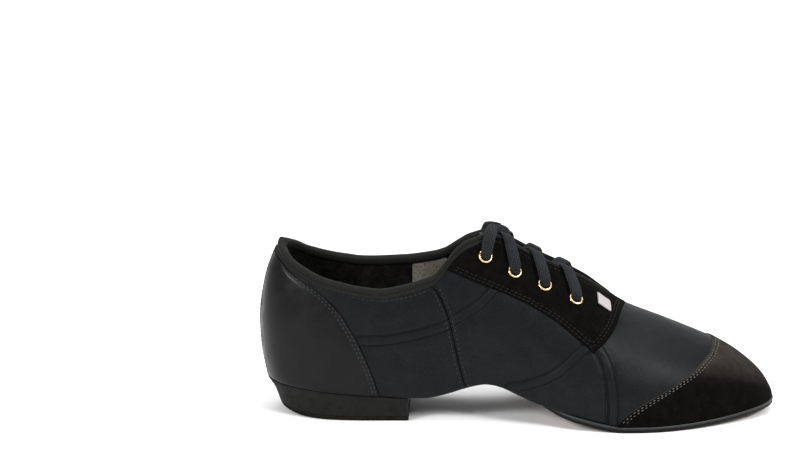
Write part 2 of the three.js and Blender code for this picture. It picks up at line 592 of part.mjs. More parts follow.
// From an eyelet's bore over the facing's edge, across the throat and under the other facing to the next eyelet.
// The strand that starts on the lateral side passes over the other one.
function crossing(side, from, to) {
  const [xa, ra] = EYELETS[from];
  const [xb, rb] = EYELETS[to];
  const [, riseA] = place([xa, ra]);
  const [, riseB] = place([xb, rb]);
  const middle = side * (from % 2 ? 1 : -1) > 0 ? CROSSING_UPPER : CROSSING_LOWER;
  const point = (share, height) => {
    const rise = riseA + (180 - riseB - riseA) * share;
    return above(xa + (xb - xa) * share, side < 0 ? rise : 180 - rise, height);
  };
  return [
    alongAxis(side, from, -1.5), alongAxis(side, from, 2), point(0.06, LACE_OVER), point(0.17, LACE_OVER),
    point(0.31, 2.7), point(0.5, middle), point(0.66, -4.2), point(0.8, -LACE_UNDER), point(0.92, -LACE_UNDER),
    alongAxis(-side, to, 1.2 - LACE_UNDER),
  ];
}
const last = EYELETS.length - 1;
function strand(start) {
  const points = [];
  let side = start;
  for (let k = last; k > 0; k--) {
    points.push(...crossing(side, k, k - 1));
    side = -side;
  }
  const [, rise] = place(EYELETS[0]);
  const way = (share) => (side < 0 ? rise + (90 - rise) * share : 180 - rise - (90 - rise) * share);
  const x = EYELETS[0][0];
  points.push(
    alongAxis(side, 0, -1.5), alongAxis(side, 0, 2), above(x + 0.4, way(0.12), LACE_OVER),
    above(x + 1.5, way(0.4), LACE_OVER), above(x + 3, way(0.79), LACE_OVER - 0.8));
  return points;
}
const bar = [-24, -12, -4, 4, 12, 24].map((angle) => above(EYELETS[last][0], 90 + angle, -LACE_UNDER));
const barEnd = (side) => alongAxis(side, last, 1.2 - LACE_UNDER);
add("lace", swept(
  [...reversed(strand(-1)), barEnd(-1), ...bar, barEnd(1), ...strand(1)], LACE_RADIUS, LACE_STEPS,
), LACE);

// The knot lies on the crest between the top eyelets, and both free ends hang down the medial side.
const KNOT = { x: 127.9, length: 10, radius: 2.6 };
const knotHeight = CROSSING_UPPER + LACE_RADIUS + LAYER_GAP + KNOT.radius;
const knotProfile = [[0, -1], [0.62, -0.8], [1, -0.25], [1, 0.25], [0.62, 0.8], [0, 1]].map(([r, y]) =>
  new THREE.Vector2(r * KNOT.radius, (y * KNOT.length) / 2));
const knotFrame = new THREE.Matrix4()
  .makeRotationZ(-Math.PI / 2 - 0.35)
  .setPosition(above(KNOT.x, 90, knotHeight));
add("lace_knot", new THREE.LatheGeometry(knotProfile, 8), LACE, knotFrame);

const HANG_HEIGHT = OVERLAY_PROUD + 2 * GAP + LACE_RADIUS;
// Each end as rows of [station, rise]: between the two top eyelets, then down the medial wall.
const LACE_ENDS = [
  [
    [129.4, 97.5], [129.5, 108], [129.4, 116], [129.2, 125], [128.2, 134], [126.4, 143], [124.9, 152], [123.9, 160],
    [123.4, 167],
  ],
  [
    [131.8, 97], [132.1, 108], [132.3, 116], [133, 125], [135.4, 134], [139.4, 143], [143.4, 152], [146.4, 160],
    [148.4, 167],
  ],
];
LACE_ENDS.forEach((rows, k) => {
  const points = rows.map(([x, rise]) => above(x, rise, HANG_HEIGHT));
  const path = new THREE.CatmullRomCurve3(points, false, "centripetal");
  add(`lace_end_${k + 1}`, swept(points, LACE_RADIUS, 18), LACE);
  const [tip, before] = [path.getPoint(1), path.getPoint(0.97)];
  const down = tip.clone().sub(before).normalize();
  const start = tip.clone().addScaledVector(down, GAP);
  const end = start.clone().addScaledVector(down, AGLET_LENGTH);
  add(`aglet_${k + 1}`, swept([start, start.clone().lerp(end, 0.5), end], AGLET_RADIUS, 2, AGLET_SIDES), PLASTIC);
});

// ---- Soles and boards ------------------------------------------------------------------------------------------
// The feather outline drawn in by inset, one point on each side for each turn.
function outline(turn, inset) {
  const step = 0.003;
  return [-1, 1].map((side) => {
    const foot = (t) => onWall(side, THREE.MathUtils.clamp(t, 0.0005, 0.9995), 0);
    const [a, p, b] = [turn - step, turn, turn + step].map(foot);
    const dir = b.sub(a).setZ(0).normalize();
    const inward = new THREE.Vector3(dir.y, -dir.x, 0).multiplyScalar(side);
    return p.setZ(0).addScaledVector(inward, inset);
  });
}
// A sheet between two stations, with its underside and top at given heights by x.
// Every sheet is cut at the same stations, so that sheets which lie on each other keep their gap.
const STATION_TURN = 1 / 52;
function slab({ from, to, inset, low, high, across = 4, shape = (p) => p, under = (p) => p }) {
  const [a, b] = [turnOf(from * stretch), turnOf(Math.min(to * stretch, LENGTH - 0.4))];
  const near = STATION_TURN / 3;
  const turns = [a];
  for (let turn = STATION_TURN; turn < b - near; turn += STATION_TURN) if (turn > a + near) turns.push(turn);
  turns.push(b);
  const surface = (height, bend) =>
    turns.map((turn) => {
      const [l, r] = outline(turn, inset);
      return Array.from({ length: across + 1 }, (_, j) => {
        const p = bend(shape(l.clone().lerp(r, j / across)));
        return p.setZ(height(p.x));
      });
    });
  return between(surface(high, (p) => p), surface(low, under));
}
const onFeather = (thickness) => ({ low: feather, high: (x) => feather(x) + thickness });

const BLOCK_INSET = 0.4;
const heelTaper = { x: 0.925, y: 0.95 }; // size of the heel's foot as shares of its top
const tapered = (share) => (p) =>
  new THREE.Vector3(
    heelFront - (heelFront - p.x) * (1 - (1 - heelTaper.x) * share), p.y * (1 - (1 - heelTaper.y) * share), 0);
const tipShare = 1 - HEEL_TIP_THICKNESS / SEAT_BACK;
const heelBlock = slab({
  from: 0.02, to: HEEL_LENGTH, inset: BLOCK_INSET, across: 4,
  low: () => HEEL_TIP_THICKNESS + GAP, high: (x) => seat(x) - GAP, under: tapered(tipShare),
});
add("heel_tip", slab({
  from: 0.02, to: HEEL_LENGTH, inset: BLOCK_INSET, across: 4,
  low: () => 0, high: () => HEEL_TIP_THICKNESS, shape: tapered(tipShare), under: tapered(1 - tipShare),
}), SUEDE);
const heelBoard = slab({ from: 1, to: HEEL_LENGTH + 2, inset: INNER_INSET, across: 4, ...onFeather(BOARD_THICKNESS) });

// Nails from the heel board down into the block.
const NAILS = [[22, 0], [34, -13], [34, 13], [62, -13], [62, 13]];
const nailHoles = [];
const headHoles = [];
NAILS.forEach(([x, y], k) => {
  const top = feather(x * stretch) + BOARD_THICKNESS - 0.3;
  const spot = (z) => new THREE.Matrix4().makeTranslation(x * stretch, y, z);
  const upright = (geometry) => geometry.rotateX(Math.PI / 2);
  const shank = top - NAIL_HEAD_THICKNESS;
  const profile = [
    [0, 0], [NAIL_HEAD_RADIUS, 0], [NAIL_HEAD_RADIUS, -NAIL_HEAD_THICKNESS], [NAIL_RADIUS, -NAIL_HEAD_THICKNESS],
    [NAIL_RADIUS, -NAIL_LENGTH + 2], [0, -NAIL_LENGTH],
  ].map(([r, y_]) => new THREE.Vector2(r, y_));
  add(`heel_nail_${k + 1}`, upright(new THREE.LatheGeometry(reversed(profile), 8)), STEEL, spot(top));
  const hole = new THREE.CylinderGeometry(NAIL_RADIUS + GAP, NAIL_RADIUS + GAP, NAIL_LENGTH + 1, 8);
  nailHoles.push(upright(hole).applyMatrix4(spot(shank - (NAIL_LENGTH + 1) / 2 + 0.5)));
  const pocket = new THREE.CylinderGeometry(NAIL_HEAD_RADIUS + GAP, NAIL_HEAD_RADIUS + GAP, 4, 8);
  headHoles.push(upright(pocket).applyMatrix4(spot(shank - GAP + 2)));
});
add("heel_block", drilled(heelBlock, nailHoles), RUBBER);
add("heel_board", drilled(heelBoard, [...nailHoles, ...headHoles]), BOARD);

const FRONT_BOARD_REAR = OUTSOLE_REAR + 2;
add("arch_panel", slab({
  from: HEEL_LENGTH + 2.5, to: FRONT_BOARD_REAR - 0.5, inset: INNER_INSET, across: 2, ...onFeather(FABRIC_THICKNESS),
}), FABRIC);
add("forefoot_board", slab({
  from: FRONT_BOARD_REAR, to: 284, inset: INNER_INSET, across: 2, ...onFeather(FOREFOOT_BOARD_THICKNESS),
}), BOARD);
const SOCK_SPLIT = 150; // station where the heel sock meets the forefoot one, ahead of the waist's bend
const boardTop = (x) => feather(x) + BOARD_THICKNESS + GAP;
const sock = { low: boardTop, high: (x) => boardTop(x) + SOCK_THICKNESS };
add("heel_sock", slab({ from: 2, to: SOCK_SPLIT, inset: INNER_INSET + 0.5, across: 2, ...sock }), LINING);
add("forefoot_sock", slab({ from: SOCK_SPLIT + 0.4, to: 283, inset: INNER_INSET + 1.2, across: 2, ...sock }), LINING);

// The forefoot sole has a rounded rear end in the waist.
const ROUND_END = 22;
const roundEnd = (p) => {
  const near = Math.max(0, 1 - (p.x / stretch - OUTSOLE_REAR) / ROUND_END);
  const middle = along(MIDDLE, p.x);
  return new THREE.Vector3(p.x, middle + (p.y - middle) * Math.sqrt(1 - 0.8 * near * near), 0);
};
const sole = { to: 286, inset: -SOLE_FLANGE, across: 2, shape: roundEnd };
const midsoleTop = (x) => feather(x) - GAP;
const midsoleFoot = (x) => midsoleTop(x) - MIDSOLE_THICKNESS;
add("forefoot_midsole", slab({ from: OUTSOLE_REAR, ...sole, low: midsoleFoot, high: midsoleTop }), RUBBER);
add("forefoot_outsole", slab({
  from: OUTSOLE_REAR, ...sole, low: (x) => midsoleFoot(x) - OUTSOLE_THICKNESS, high: (x) => midsoleFoot(x) - 0.01,
}), SUEDE);

// The origin is under the middle of the shoe.
const box = new THREE.Box3().setFromObject(shoe);
shoe.position.set(-(box.min.x + box.max.x) / 2, -(box.min.y + box.max.y) / 2, -box.min.z);

export default shoe;
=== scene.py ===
"""A men's split-sole dance practice shoe, right foot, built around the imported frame.

Lengths in this file are millimetres in the shoe's own frame until a mesh is made: x from the heel's back to
the toe, y towards the inner side, z up from the floor. A place on the upper is a station (x) and a rise in
degrees up the side wall, 0 at the feather line, where upper meets sole, and 90 on the crest.
"""

import math
import random

import bmesh
import bpy
import numpy as np
from mathutils import Matrix, Vector


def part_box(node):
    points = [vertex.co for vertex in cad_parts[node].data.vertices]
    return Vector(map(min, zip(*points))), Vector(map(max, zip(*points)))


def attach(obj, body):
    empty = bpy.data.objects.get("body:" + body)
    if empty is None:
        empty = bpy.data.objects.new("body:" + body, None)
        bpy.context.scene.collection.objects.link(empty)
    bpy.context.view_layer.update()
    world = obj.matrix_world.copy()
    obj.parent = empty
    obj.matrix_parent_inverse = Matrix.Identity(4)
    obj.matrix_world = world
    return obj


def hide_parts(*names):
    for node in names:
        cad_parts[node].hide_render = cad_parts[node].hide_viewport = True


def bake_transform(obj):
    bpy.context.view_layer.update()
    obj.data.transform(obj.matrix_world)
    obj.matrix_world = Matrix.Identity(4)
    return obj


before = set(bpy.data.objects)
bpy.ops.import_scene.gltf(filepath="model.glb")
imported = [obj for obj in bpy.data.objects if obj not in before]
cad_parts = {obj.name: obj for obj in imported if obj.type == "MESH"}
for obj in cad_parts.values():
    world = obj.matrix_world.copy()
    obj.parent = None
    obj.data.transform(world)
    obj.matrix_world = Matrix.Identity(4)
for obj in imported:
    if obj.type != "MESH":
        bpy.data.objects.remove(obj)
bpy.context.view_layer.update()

# ---- The shoe's own frame ----------------------------------------------------------------------------------
NAIL_STATION = 22.0  # heel_nail_1 stands on the shoe's middle line at this station
nail_low, nail_high = (np.array(corner) * 1000 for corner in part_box("heel_nail_1"))
ORIGIN = np.array([(nail_low[0] + nail_high[0]) / 2 - NAIL_STATION, (nail_low[1] + nail_high[1]) / 2, 0.0])


def metres(points):
    return (np.asarray(points, float) + ORIGIN) / 1000


# ---- Driving sizes, as in the CAD model --------------------------------------------------------------------
LENGTH = 286.0
SEAT_BACK, SEAT_FRONT, HEEL_LENGTH = 18.8, 13.0, 83.0
OUTSOLE, MIDSOLE, GAP = 1.7, 1.1, 0.3
OUTSOLE_REAR, SOLE_FLANGE = 151.0, 1.2
PROUD, OVERLAY_DEPTH, FABRIC, FACING_DEPTH = 0.9, 1.0, 2.3, 2.3
LINING_FACE, LINING_BACK = 2.75, 3.55
TONGUE_FACE, TONGUE_THICKNESS = 6.15, 2.2
BINDING_WIDTH = 5.0
STAY_HALF_WIDTH = 5.0
THREAD_RADIUS = 0.24
STITCH_PITCH = 2.6
STITCH_LENGTH = 1.9


def turn_of(x):
    return np.arccos(np.clip(1 - 2 * np.asarray(x, float) / LENGTH, -1, 1)) / np.pi


def station_of(turn):
    return LENGTH * (1 - np.cos(np.pi * turn)) / 2


def along(rows, at):
    """A smooth curve through rows of [place, value]."""
    rows = np.asarray(rows, float)
    px, pv = rows[:, 0], rows[:, 1]
    at = np.clip(np.asarray(at, float), px[0], px[-1])
    slope = np.empty(len(px))
    slope[1:-1] = (pv[2:] - pv[:-2]) / (px[2:] - px[:-2])
    slope[0], slope[-1] = (pv[1] - pv[0]) / (px[1] - px[0]), (pv[-1] - pv[-2]) / (px[-1] - px[-2])
    k = np.clip(np.searchsorted(px, at, side="right") - 1, 0, len(px) - 2)
    span = px[k + 1] - px[k]
    t = (at - px[k]) / span
    s = 1 - t
    return (pv[k] * s * s * (1 + 2 * t) + pv[k + 1] * t * t * (1 + 2 * s)
            + slope[k] * span * s * s * t - slope[k + 1] * span * t * t * s)


def by_turn(rows):
    return [[float(turn_of(x)), v] for x, v in rows]


HALF_LATERAL = by_turn([
    [0, 0], [10, 19.5], [30, 28.5], [50, 30.5], [80, 30], [110, 31], [130, 33.5], [150, 38], [170, 43.5],
    [190, 47.5], [205, 48], [220, 46], [235, 41.5], [250, 35], [262, 28.5], [272, 21.8], [280, 14.5],
    [286, 0]])
HALF_MEDIAL = by_turn([
    [0, 0], [10, 19.5], [30, 28.5], [50, 30], [70, 28], [90, 24.5], [110, 22.5], [130, 23], [150, 27],
    [170, 33.5],
    [190, 39], [205, 41], [220, 40.5], [235, 37.5], [250, 32], [262, 26], [272, 20], [280, 13.5], [286, 0]])
MIDDLE = [[0, 0], [70, 0], [130, 2], [200, 4], [286, 6]]
FALL = [[83, 1], [125, 0.65], [160, 0.3], [195, 0], [215, 0]]
SPRING = [[205, 0], [215, 0], [240, 0.8], [262, 2.2], [286, 4.4]]
ARCH = [[83, 0], [95, 1.6], [105, 5], [116, 9.6], [125, 12.2], [133, 11.7], [142, 8.9], [152, 6], [168, 3.2],
        [185, 0.9], [196, 0]]
CREST = by_turn([
    [0, 99], [60, 105], [100, 105], [115, 101], [128, 94.5], [140, 88], [152, 82.5], [166, 77], [180, 70.5],
    [190, 64], [202, 57], [223, 49], [235, 44], [246, 38.8], [254, 34.6], [263, 28.8], [271, 22.4], [279, 14],
    [284, 6.2], [286, 0]])
HEEL_CURVE = [[18, 4], [34, 1], [48, 0], [58, 0.3], [69, 1.9], [78, 4], [85, 6.5], [98, 12]]
HEEL_CURVE_REACH = 70.0
WALL_BULGE = 0.11
SOLE_STACK = OUTSOLE + MIDSOLE + GAP
SEAT_SLOPE = (SEAT_FRONT - SEAT_BACK) / HEEL_LENGTH


def base(x):
    x = np.asarray(x, float)
    front = SOLE_STACK + (SEAT_FRONT - SOLE_STACK) * np.maximum(0, along(FALL, x)) + np.maximum(0,
                                                                                                along(SPRING,
                                                                                                      x))
    return np.where(x < HEEL_LENGTH, SEAT_BACK + SEAT_SLOPE * x, front)


def feather(x):
    return base(x) + np.maximum(0, along(ARCH, x))


def on_wall(side, turn, rise):
    """A point of the upper's face. side is -1 on the outer wall and 1 on the inner one."""
    side, turn, rise = np.broadcast_arrays(np.asarray(side, float), np.asarray(turn, float),
                                           np.asarray(rise, float))
    x = station_of(turn)
    angle = np.radians(rise)
    half = np.where(side < 0, along(HALF_LATERAL, turn), along(HALF_MEDIAL, turn))
    low = feather(x)
    high = np.maximum(base(x) + along(CREST, turn), low)
    z = low + (high - low) * np.sin(angle)
    out = half * np.cos(angle) * (1 + WALL_BULGE * np.sin(2 * angle))
    fade = np.maximum(0, 1 - x / HEEL_CURVE_REACH) ** 2
    return np.stack([x + along(HEEL_CURVE, z) * fade, along(MIDDLE, x) + side * out, z], -1)


def over(turn, rise):
    """From the outer feather line (0) over the crest (90) to the inner feather line (180)."""
    rise = np.asarray(rise, float)
    return on_wall(np.where(rise <= 90, -1, 1), turn, np.where(rise <= 90, rise, 180 - rise))


def around(turn, rise):
    """Round the heel: turn is below 0 on the outer side and above 0 on the inner side."""
    turn = np.asarray(turn, float)
    return on_wall(np.where(turn < 0, -1, 1), np.abs(turn), rise)


def unit(v):
    return v / np.maximum(np.linalg.norm(v, axis=-1, keepdims=True), 1e-12)


def outward(chart, turn, rise):
    dt, dr = 0.002, 0.4
    turn, rise = np.broadcast_arrays(np.asarray(turn, float), np.asarray(rise, float))
    t0 = np.maximum(turn - dt, 0.0005) if chart is over else turn - dt
    t1 = np.minimum(turn + dt, 0.999)
    r0 = np.maximum(rise - dr, 0)
    r1 = np.minimum(rise + dr, 180 if chart is over else 89.9)
    n = unit(np.cross(chart(t1, rise) - chart(t0, rise), chart(turn, r1) - chart(turn, r0)))
    n = n if chart is over else -n
    tip = (turn > 0.995)[..., None]
    return np.where(tip, unit(np.array([1.0, 0, 0.15])), n)


def off(chart, turn, rise, height):
    height = np.asarray(height, float)
    return chart(turn, rise) + outward(chart, turn, rise) * height[..., None]


# ---- Seam lines: rows of [station, height above the base line] ---------------------------------------------
TOPLINE = {
    -1: [
        [0, 77.5], [7.3, 72.4], [13.4, 69.5], [21, 66.8], [28, 64.4], [34, 62.6], [40, 61.4], [51, 59.7],
        [62, 58.7], [67.5, 58.7], [73, 59.6], [83.6, 62.8], [94.3, 67.3], [97.5, 69.5], [102.3, 75.4],
        [107.6, 82.4], [113, 87], [118.3, 89.3], [128, 91]],
    1: [
        [0, 77.5], [10, 73.8], [21.7, 70], [34.7, 67.4], [50, 66.1], [59, 66.3], [70.6, 67.8], [82, 69.7],
        [93.6, 72.6], [99.3, 74.6], [103.3, 76.6], [108.9, 81], [114.5, 85.2], [120, 88], [128, 91]]}
COUNTER_EDGE = [
    [9, 66.6], [16, 62.9], [24, 59.4], [30, 56.8], [35, 54.2], [40.4, 50.4], [46, 45], [50.3, 39], [55, 31.1],
    [60.4, 19.8], [64, 11.3], [67.5, 0]]
WAIST_SEAM = [
    [95.4, 63], [98.1, 60.5], [100.3, 56.8], [102.5, 52], [104.5, 46.3], [106.6, 38.1], [108.6, 29],
    [110.8, 19.8],
    [114, 9.5]]
FACING_LOWER = [
    [103.5, 71.8], [110.4, 69.9], [115.8, 68.1], [126.5, 64.9], [138.8, 61.4], [146.1, 59], [158.5, 53.4],
    [167.3, 48.2], [174.2, 43.3], [181.5, 38]]
FACING_FRONT = [[181.5, 38], [185.2, 41], [188.8, 44.2], [192.8, 48.6], [196.5, 53.2]]
BALL_SEAM = [[181.5, 38], [184, 34.8], [186.3, 29.3], [187.8, 21], [188.4, 13], [188.5, 0]]
CAP_SEAM = [[193, 0], [198, 5.8], [204, 10.6], [211, 14.8], [220.2, 19.4], [232.4, 24.9], [239.7, 28.9],
            [247, 33.2]]
CAP_CREST, FACING_CREST, THROAT_END, COLLAR_END = 251.5, 203.0, 194.0, 128.0
THROAT_EDGE = [[136, 74], [155, 76], [170, 78], [182, 81], [190, 85]]
EYELETS = [[123.9, 80.4], [139.8, 73.9], [156.1, 68.5], [172.8, 62.8]]
# Welts under the stretch fabric, each a centre line and a width.
WELT_QUARTER = [
    [56.8, 30.5], [70.3, 31.8], [83.7, 35.1], [94.5, 38.9], [103.6, 42.7], [107.5, 45.8], [115.9, 51.7],
    [121.2, 56], [126.3, 61.6], [128.7, 64.6]]
WELT_ARCH = [[177.2, 40.1], [172.7, 35.9], [166.5, 29], [158, 21.8], [147.3, 15.8], [137.8, 12.6]]
WELT_BALL = [[184, 40.5], [186.6, 37], [188.6, 32.4], [190.5, 24.5], [191.7, 16.3], [192.2, 8.1], [192, 2]]
WELT_WIDTH = 5.2


def place(row):
    x, height = row
    turn = float(turn_of(x))
    low, high = float(feather(x)), float(base(x) + along(CREST, turn))
    return turn, math.degrees(math.asin(min(max((float(base(x)) + height - low) / (high - low), 0), 1)))


TURN_WEIGHT = 300.0


def spline(points, count=400):
    """Points evenly spread along a smooth curve through the given ones."""
    p = np.asarray(points, float)
    if len(p) == 2:
        return p[0] + (p[1] - p[0]) * np.linspace(0, 1, count)[:, None]
    padded = np.vstack([2 * p[0] - p[1], p, 2 * p[-1] - p[-2]])
    t = np.linspace(0, 1, 24, endpoint=False)[:, None]
    parts = []
    for a, b, c, d in zip(padded, padded[1:], padded[2:], padded[3:]):
        square, cube = 2 * a - 5 * b + 4 * c - d, 3 * b - a - 3 * c + d
        parts.append(0.5 * (2 * b + (c - a) * t + square * t**2 + cube * t**3))
    dense = np.vstack([*parts, p[-1:]])
    length = np.concatenate([[0], np.cumsum(np.linalg.norm(np.diff(dense, axis=0), axis=1))])
    want = np.linspace(0, length[-1], count)
    return np.stack([np.interp(want, length, dense[:, k]) for k in range(dense.shape[1])], -1)


def line(points):
    """An edge as a function of share along it, in turn and rise."""
    weighted = [(t * TURN_WEIGHT, r) for t, r in points]
    dense = spline(weighted)
    share = np.linspace(0, 1, len(dense))
    return lambda s: np.stack([np.interp(s, share, dense[:, 0]) / TURN_WEIGHT,
                               np.interp(s, share, dense[:, 1])], -1)


def joined(*lists):
    """One edge from several point lists, keeping a corner where they meet."""
    parts = [spline([(t * TURN_WEIGHT, r) for t, r in points]) for points in lists]
    dense = np.vstack([parts[0], *[p[1:] for p in parts[1:]]])
    length = np.concatenate([[0], np.cumsum(np.linalg.norm(np.diff(dense, axis=0), axis=1))])
    share = length / length[-1]
    return lambda s: np.stack([np.interp(s, share, dense[:, 0]) / TURN_WEIGHT,
                               np.interp(s, share, dense[:, 1])], -1)


def lowered(side, point, distance):
    turn, rise = point
    step = float(np.linalg.norm(on_wall(side, turn, rise) - on_wall(side, turn, rise - 1)))
    return turn, rise - distance / step


topline_rises = {side: [place(row) for row in rows] for side, rows in TOPLINE.items()}


def collar_at(side, turn, distance):
    return lowered(side, (turn, float(along(topline_rises[side], turn))), distance)


def collar_line(side, start, end, distance, step=4.0):
    count = max(1, round((end - start) / step))
    return [collar_at(side, float(turn_of(start + (end - start) * i / count)),
                      distance) for i in range(count + 1)]


def mirrored(points):
    return [(t, 180 - r) for t, r in points]


# ---- Meshes ------------------------------------------------------------------------------------------------
def spread(size, spacing, borders=(0.0, 0.25, 0.6, 1.1, 1.8)):
    """Shares along a patch: close together at both borders, then evenly spaced."""
    inner = [b / size for b in borders]
    count = max(2, int(math.ceil(size * (1 - 2 * inner[-1]) / spacing)))
    middle = list(np.linspace(inner[-1], 1 - inner[-1], count + 1)[1:-1])
    return np.array(inner + middle + [1 - b for b in reversed(inner)])


def filled(chart, rear, front, bottom, top, spacing, trim):
    """A grid of turn and rise between four edges, each drawn in by trim mm (rear, front, bottom, top)."""
    ends = [rear(0), front(0), rear(1), front(1)]

    def inside(s, t):
        s, t = np.broadcast_arrays(s, t)
        l, r, b, u = rear(t), front(t), bottom(s), top(s)
        s, t = s[..., None], t[..., None]
        corners = (1 - s) * (1 - t) * ends[0] + s * (1 - t) * ends[1] + (1 - s) * t * ends[2] + s * t * ends[3]
        return (1 - s) * l + s * r + (1 - t) * b + t * u - corners

    def reach(a, b):
        return np.linalg.norm(chart(a[..., 0], a[..., 1]) - chart(b[..., 0], b[..., 1]), axis=-1)

    half = np.array([0.5])
    width = float(reach(inside(np.zeros(1), half), inside(np.ones(1), half))[0])
    height = float(reach(inside(half, np.zeros(1)), inside(half, np.ones(1)))[0])
    s, t = np.meshgrid(spread(width, spacing), spread(height, spacing), indexing="ij")
    across = reach(inside(np.zeros_like(t), t), inside(np.ones_like(t), t))
    upward = reach(inside(s, np.zeros_like(s)), inside(s, np.ones_like(s)))

    def drawn_in(value, size, first, last):
        low, high = np.minimum(first / size, 0.3), 1 - np.minimum(last / size, 0.3)
        return low + value * (high - low)

    return inside(drawn_in(s, across, *trim[:2]), drawn_in(t, upward, *trim[2:]))


def border_distance(points):
    """For a grid of points, the distance along the grid to its rear, front, bottom and top edges."""
    ds = np.linalg.norm(np.diff(points, axis=0), axis=-1)
    dt = np.linalg.norm(np.diff(points, axis=1), axis=-1)
    zs, zt = np.zeros((1, points.shape[1])), np.zeros((points.shape[0], 1))
    rear = np.vstack([zs, np.cumsum(ds, 0)])
    bottom = np.hstack([zt, np.cumsum(dt, 1)])
    return rear, rear[-1:] - rear, bottom, bottom[:, -1:] - bottom


def smooth_noise(points, scale, seed):
    """Soft random relief between about -1 and 1, as a sum of a few sine waves in space."""
    rng = np.random.default_rng(seed)
    total = np.zeros(points.shape[:-1])
    for _ in range(10):
        direction = unit(rng.normal(size=3))
        wave = 2 * np.pi / (scale * rng.uniform(0.7, 1.6))
        total += np.sin(points @ direction * wave + rng.uniform(0, 6.28))
    return total / 4


def distance_to(points, path):
    """Distance from each point to a polyline."""
    flat = points.reshape(-1, 3)
    best = np.full(len(flat), 1e9)
    for a, b in zip(path, path[1:]):
        ab = b - a
        t = np.clip(((flat - a) @ ab) / max(ab @ ab, 1e-9), 0, 1)
        best = np.minimum(best, np.linalg.norm(flat - (a + t[:, None] * ab), axis=1))
    return best.reshape(points.shape[:-1])


def new_object(name, vertices, faces, material, uv=None, sharp=50, attributes=None):
    mesh = bpy.data.meshes.new(name)
    mesh.from_pydata([tuple(v) for v in metres(vertices)], [], [tuple(int(i) for i in f) for f in faces])
    if uv is not None:
        layer = mesh.uv_layers.new(name="UVMap")
        loops = np.empty(len(mesh.loops), np.int32)
        mesh.loops.foreach_get("vertex_index", loops)
        layer.data.foreach_set("uv", np.asarray(uv, np.float32)[loops].ravel())
    for key, values in (attributes or {}).items():
        mesh.attributes.new(key, "FLOAT", "POINT").data.foreach_set("value",
                                                                    np.asarray(values, np.float32).ravel())
    bm = bmesh.new()
    bm.from_mesh(mesh)
    bmesh.ops.remove_doubles(bm, verts=bm.verts, dist=2e-6)
    bmesh.ops.dissolve_degenerate(bm, edges=bm.edges, dist=1e-6)
    bmesh.ops.recalc_face_normals(bm, faces=bm.faces)
    bm.to_mesh(mesh)
    bm.free()
    mesh.shade_smooth()
    mesh.set_sharp_from_angle(angle=math.radians(sharp))
    obj = bpy.data.objects.new(name, mesh)
    bpy.context.scene.collection.objects.link(obj)
    obj.data.materials.append(material)
    return obj


def grid_faces(m, n, start=0, flip=False):
    i, j = np.meshgrid(np.arange(m - 1), np.arange(n - 1), indexing="ij")
    a = (start + i * n + j).ravel()
    quads = np.stack([a, a + n, a + n + 1, a + 1], -1)
    return quads[:, ::-1] if flip else quads


def closed_faces(m, n):
    """Faces of a body between two grids of m by n points: outer, inner and the rim between them."""
    faces = [grid_faces(m, n), grid_faces(m, n, m * n, True)]
    ring = [i * n for i in range(m)] + [(m - 1) * n + j for j in range(1, n)]
    ring += [i * n + n - 1 for i in range(m - 2, -1, -1)] + [j for j in range(n - 2, 0, -1)]
    ring = np.array(ring)
    after = np.roll(ring, -1)
    faces.append(np.stack([ring, ring + m * n, after + m * n, after], -1))
    return np.vstack(faces)


SEWN_DIP, SEWN_WIDTH = 0.2, 0.6  # how far a stitch row draws the sheet in, and over what width
SEAM_SHADE = 0.75  # how far the painted shade along a sewn seam reaches


class Panel:
    """A sheet of the upper: its mesh, and its face for stitch rows.

    rounds are the edge radii at the rear, front, bottom and top borders. sewn lists (border, distance) rows
    where stitches draw the sheet in, seams the borders sewn shut, along which the fabric gets painted shade,
    and welts the raised lines under the sheet, at whose edges the fabric also gets painted shade.
    """

    def __init__(self, name, chart, grid, face, back, material, rounds=(0, 0, 0, 0), relief=None, sharp=50,
                 sewn=(),
                 seams=(), welts=()):
        turn, rise = grid[..., 0], grid[..., 1]
        skin, normal = chart(turn, rise), outward(chart, turn, rise)
        distances = border_distance(skin)
        height = np.full(turn.shape, float(face))
        for radius, d in zip(rounds, distances):
            if radius:
                inside = np.clip(d, 0, radius)
                height -= radius - np.sqrt(np.maximum(radius**2 - (radius - inside) ** 2, 0))
        for border, distance in sewn:
            height -= SEWN_DIP * np.exp(-(((distances[border] - distance) / SEWN_WIDTH) ** 2))
        if relief is not None:
            height += relief(skin, distances)
        attributes = {}
        # The seam attribute carries painted shade: stretch_fabric darkens its colour along these sewn borders.
        if seams:
            nearest = np.min([distances[border] for border in seams], 0)
            attributes["seam"] = np.exp(-((nearest / SEAM_SHADE) ** 2))
        if welts:
            attributes["welt"] = np.min([distance_to(skin, path) for path in welts], 0)
        attributes = {key: np.concatenate([v.ravel(), v.ravel()]) for key, v in attributes.items()}
        self.normal = normal
        self.face = skin + normal * height[..., None]
        self.distances = distances
        inner = skin - normal * back
        m, n = turn.shape
        vertices = np.vstack([self.face.reshape(-1, 3), inner.reshape(-1, 3)])
        uv = np.stack([distances[0].ravel(), distances[2].ravel()], -1) / 1000
        self.object = new_object(name, vertices, closed_faces(m, n), material, np.vstack([uv, uv]), sharp,
                                 attributes)

    def inset(self, border, distance):
        """The line at a distance from a border (0 rear, 1 front, 2 bottom, 3 top), and its normals."""
        d = self.distances[border]
        face, normal = self.face, self.normal
        if border >= 2:
            d, face, normal = d.T, face.transpose(1, 0, 2), normal.transpose(1, 0, 2)
        points, normals = [], []
        for k in range(d.shape[1]):
            column = d[:, k]
            order = np.argsort(column)
            points.append([np.interp(distance, column[order], face[order, k, c]) for c in range(3)])
            normals.append([np.interp(distance, column[order], normal[order, k, c]) for c in range(3)])
        return np.array(points), unit(np.array(normals))


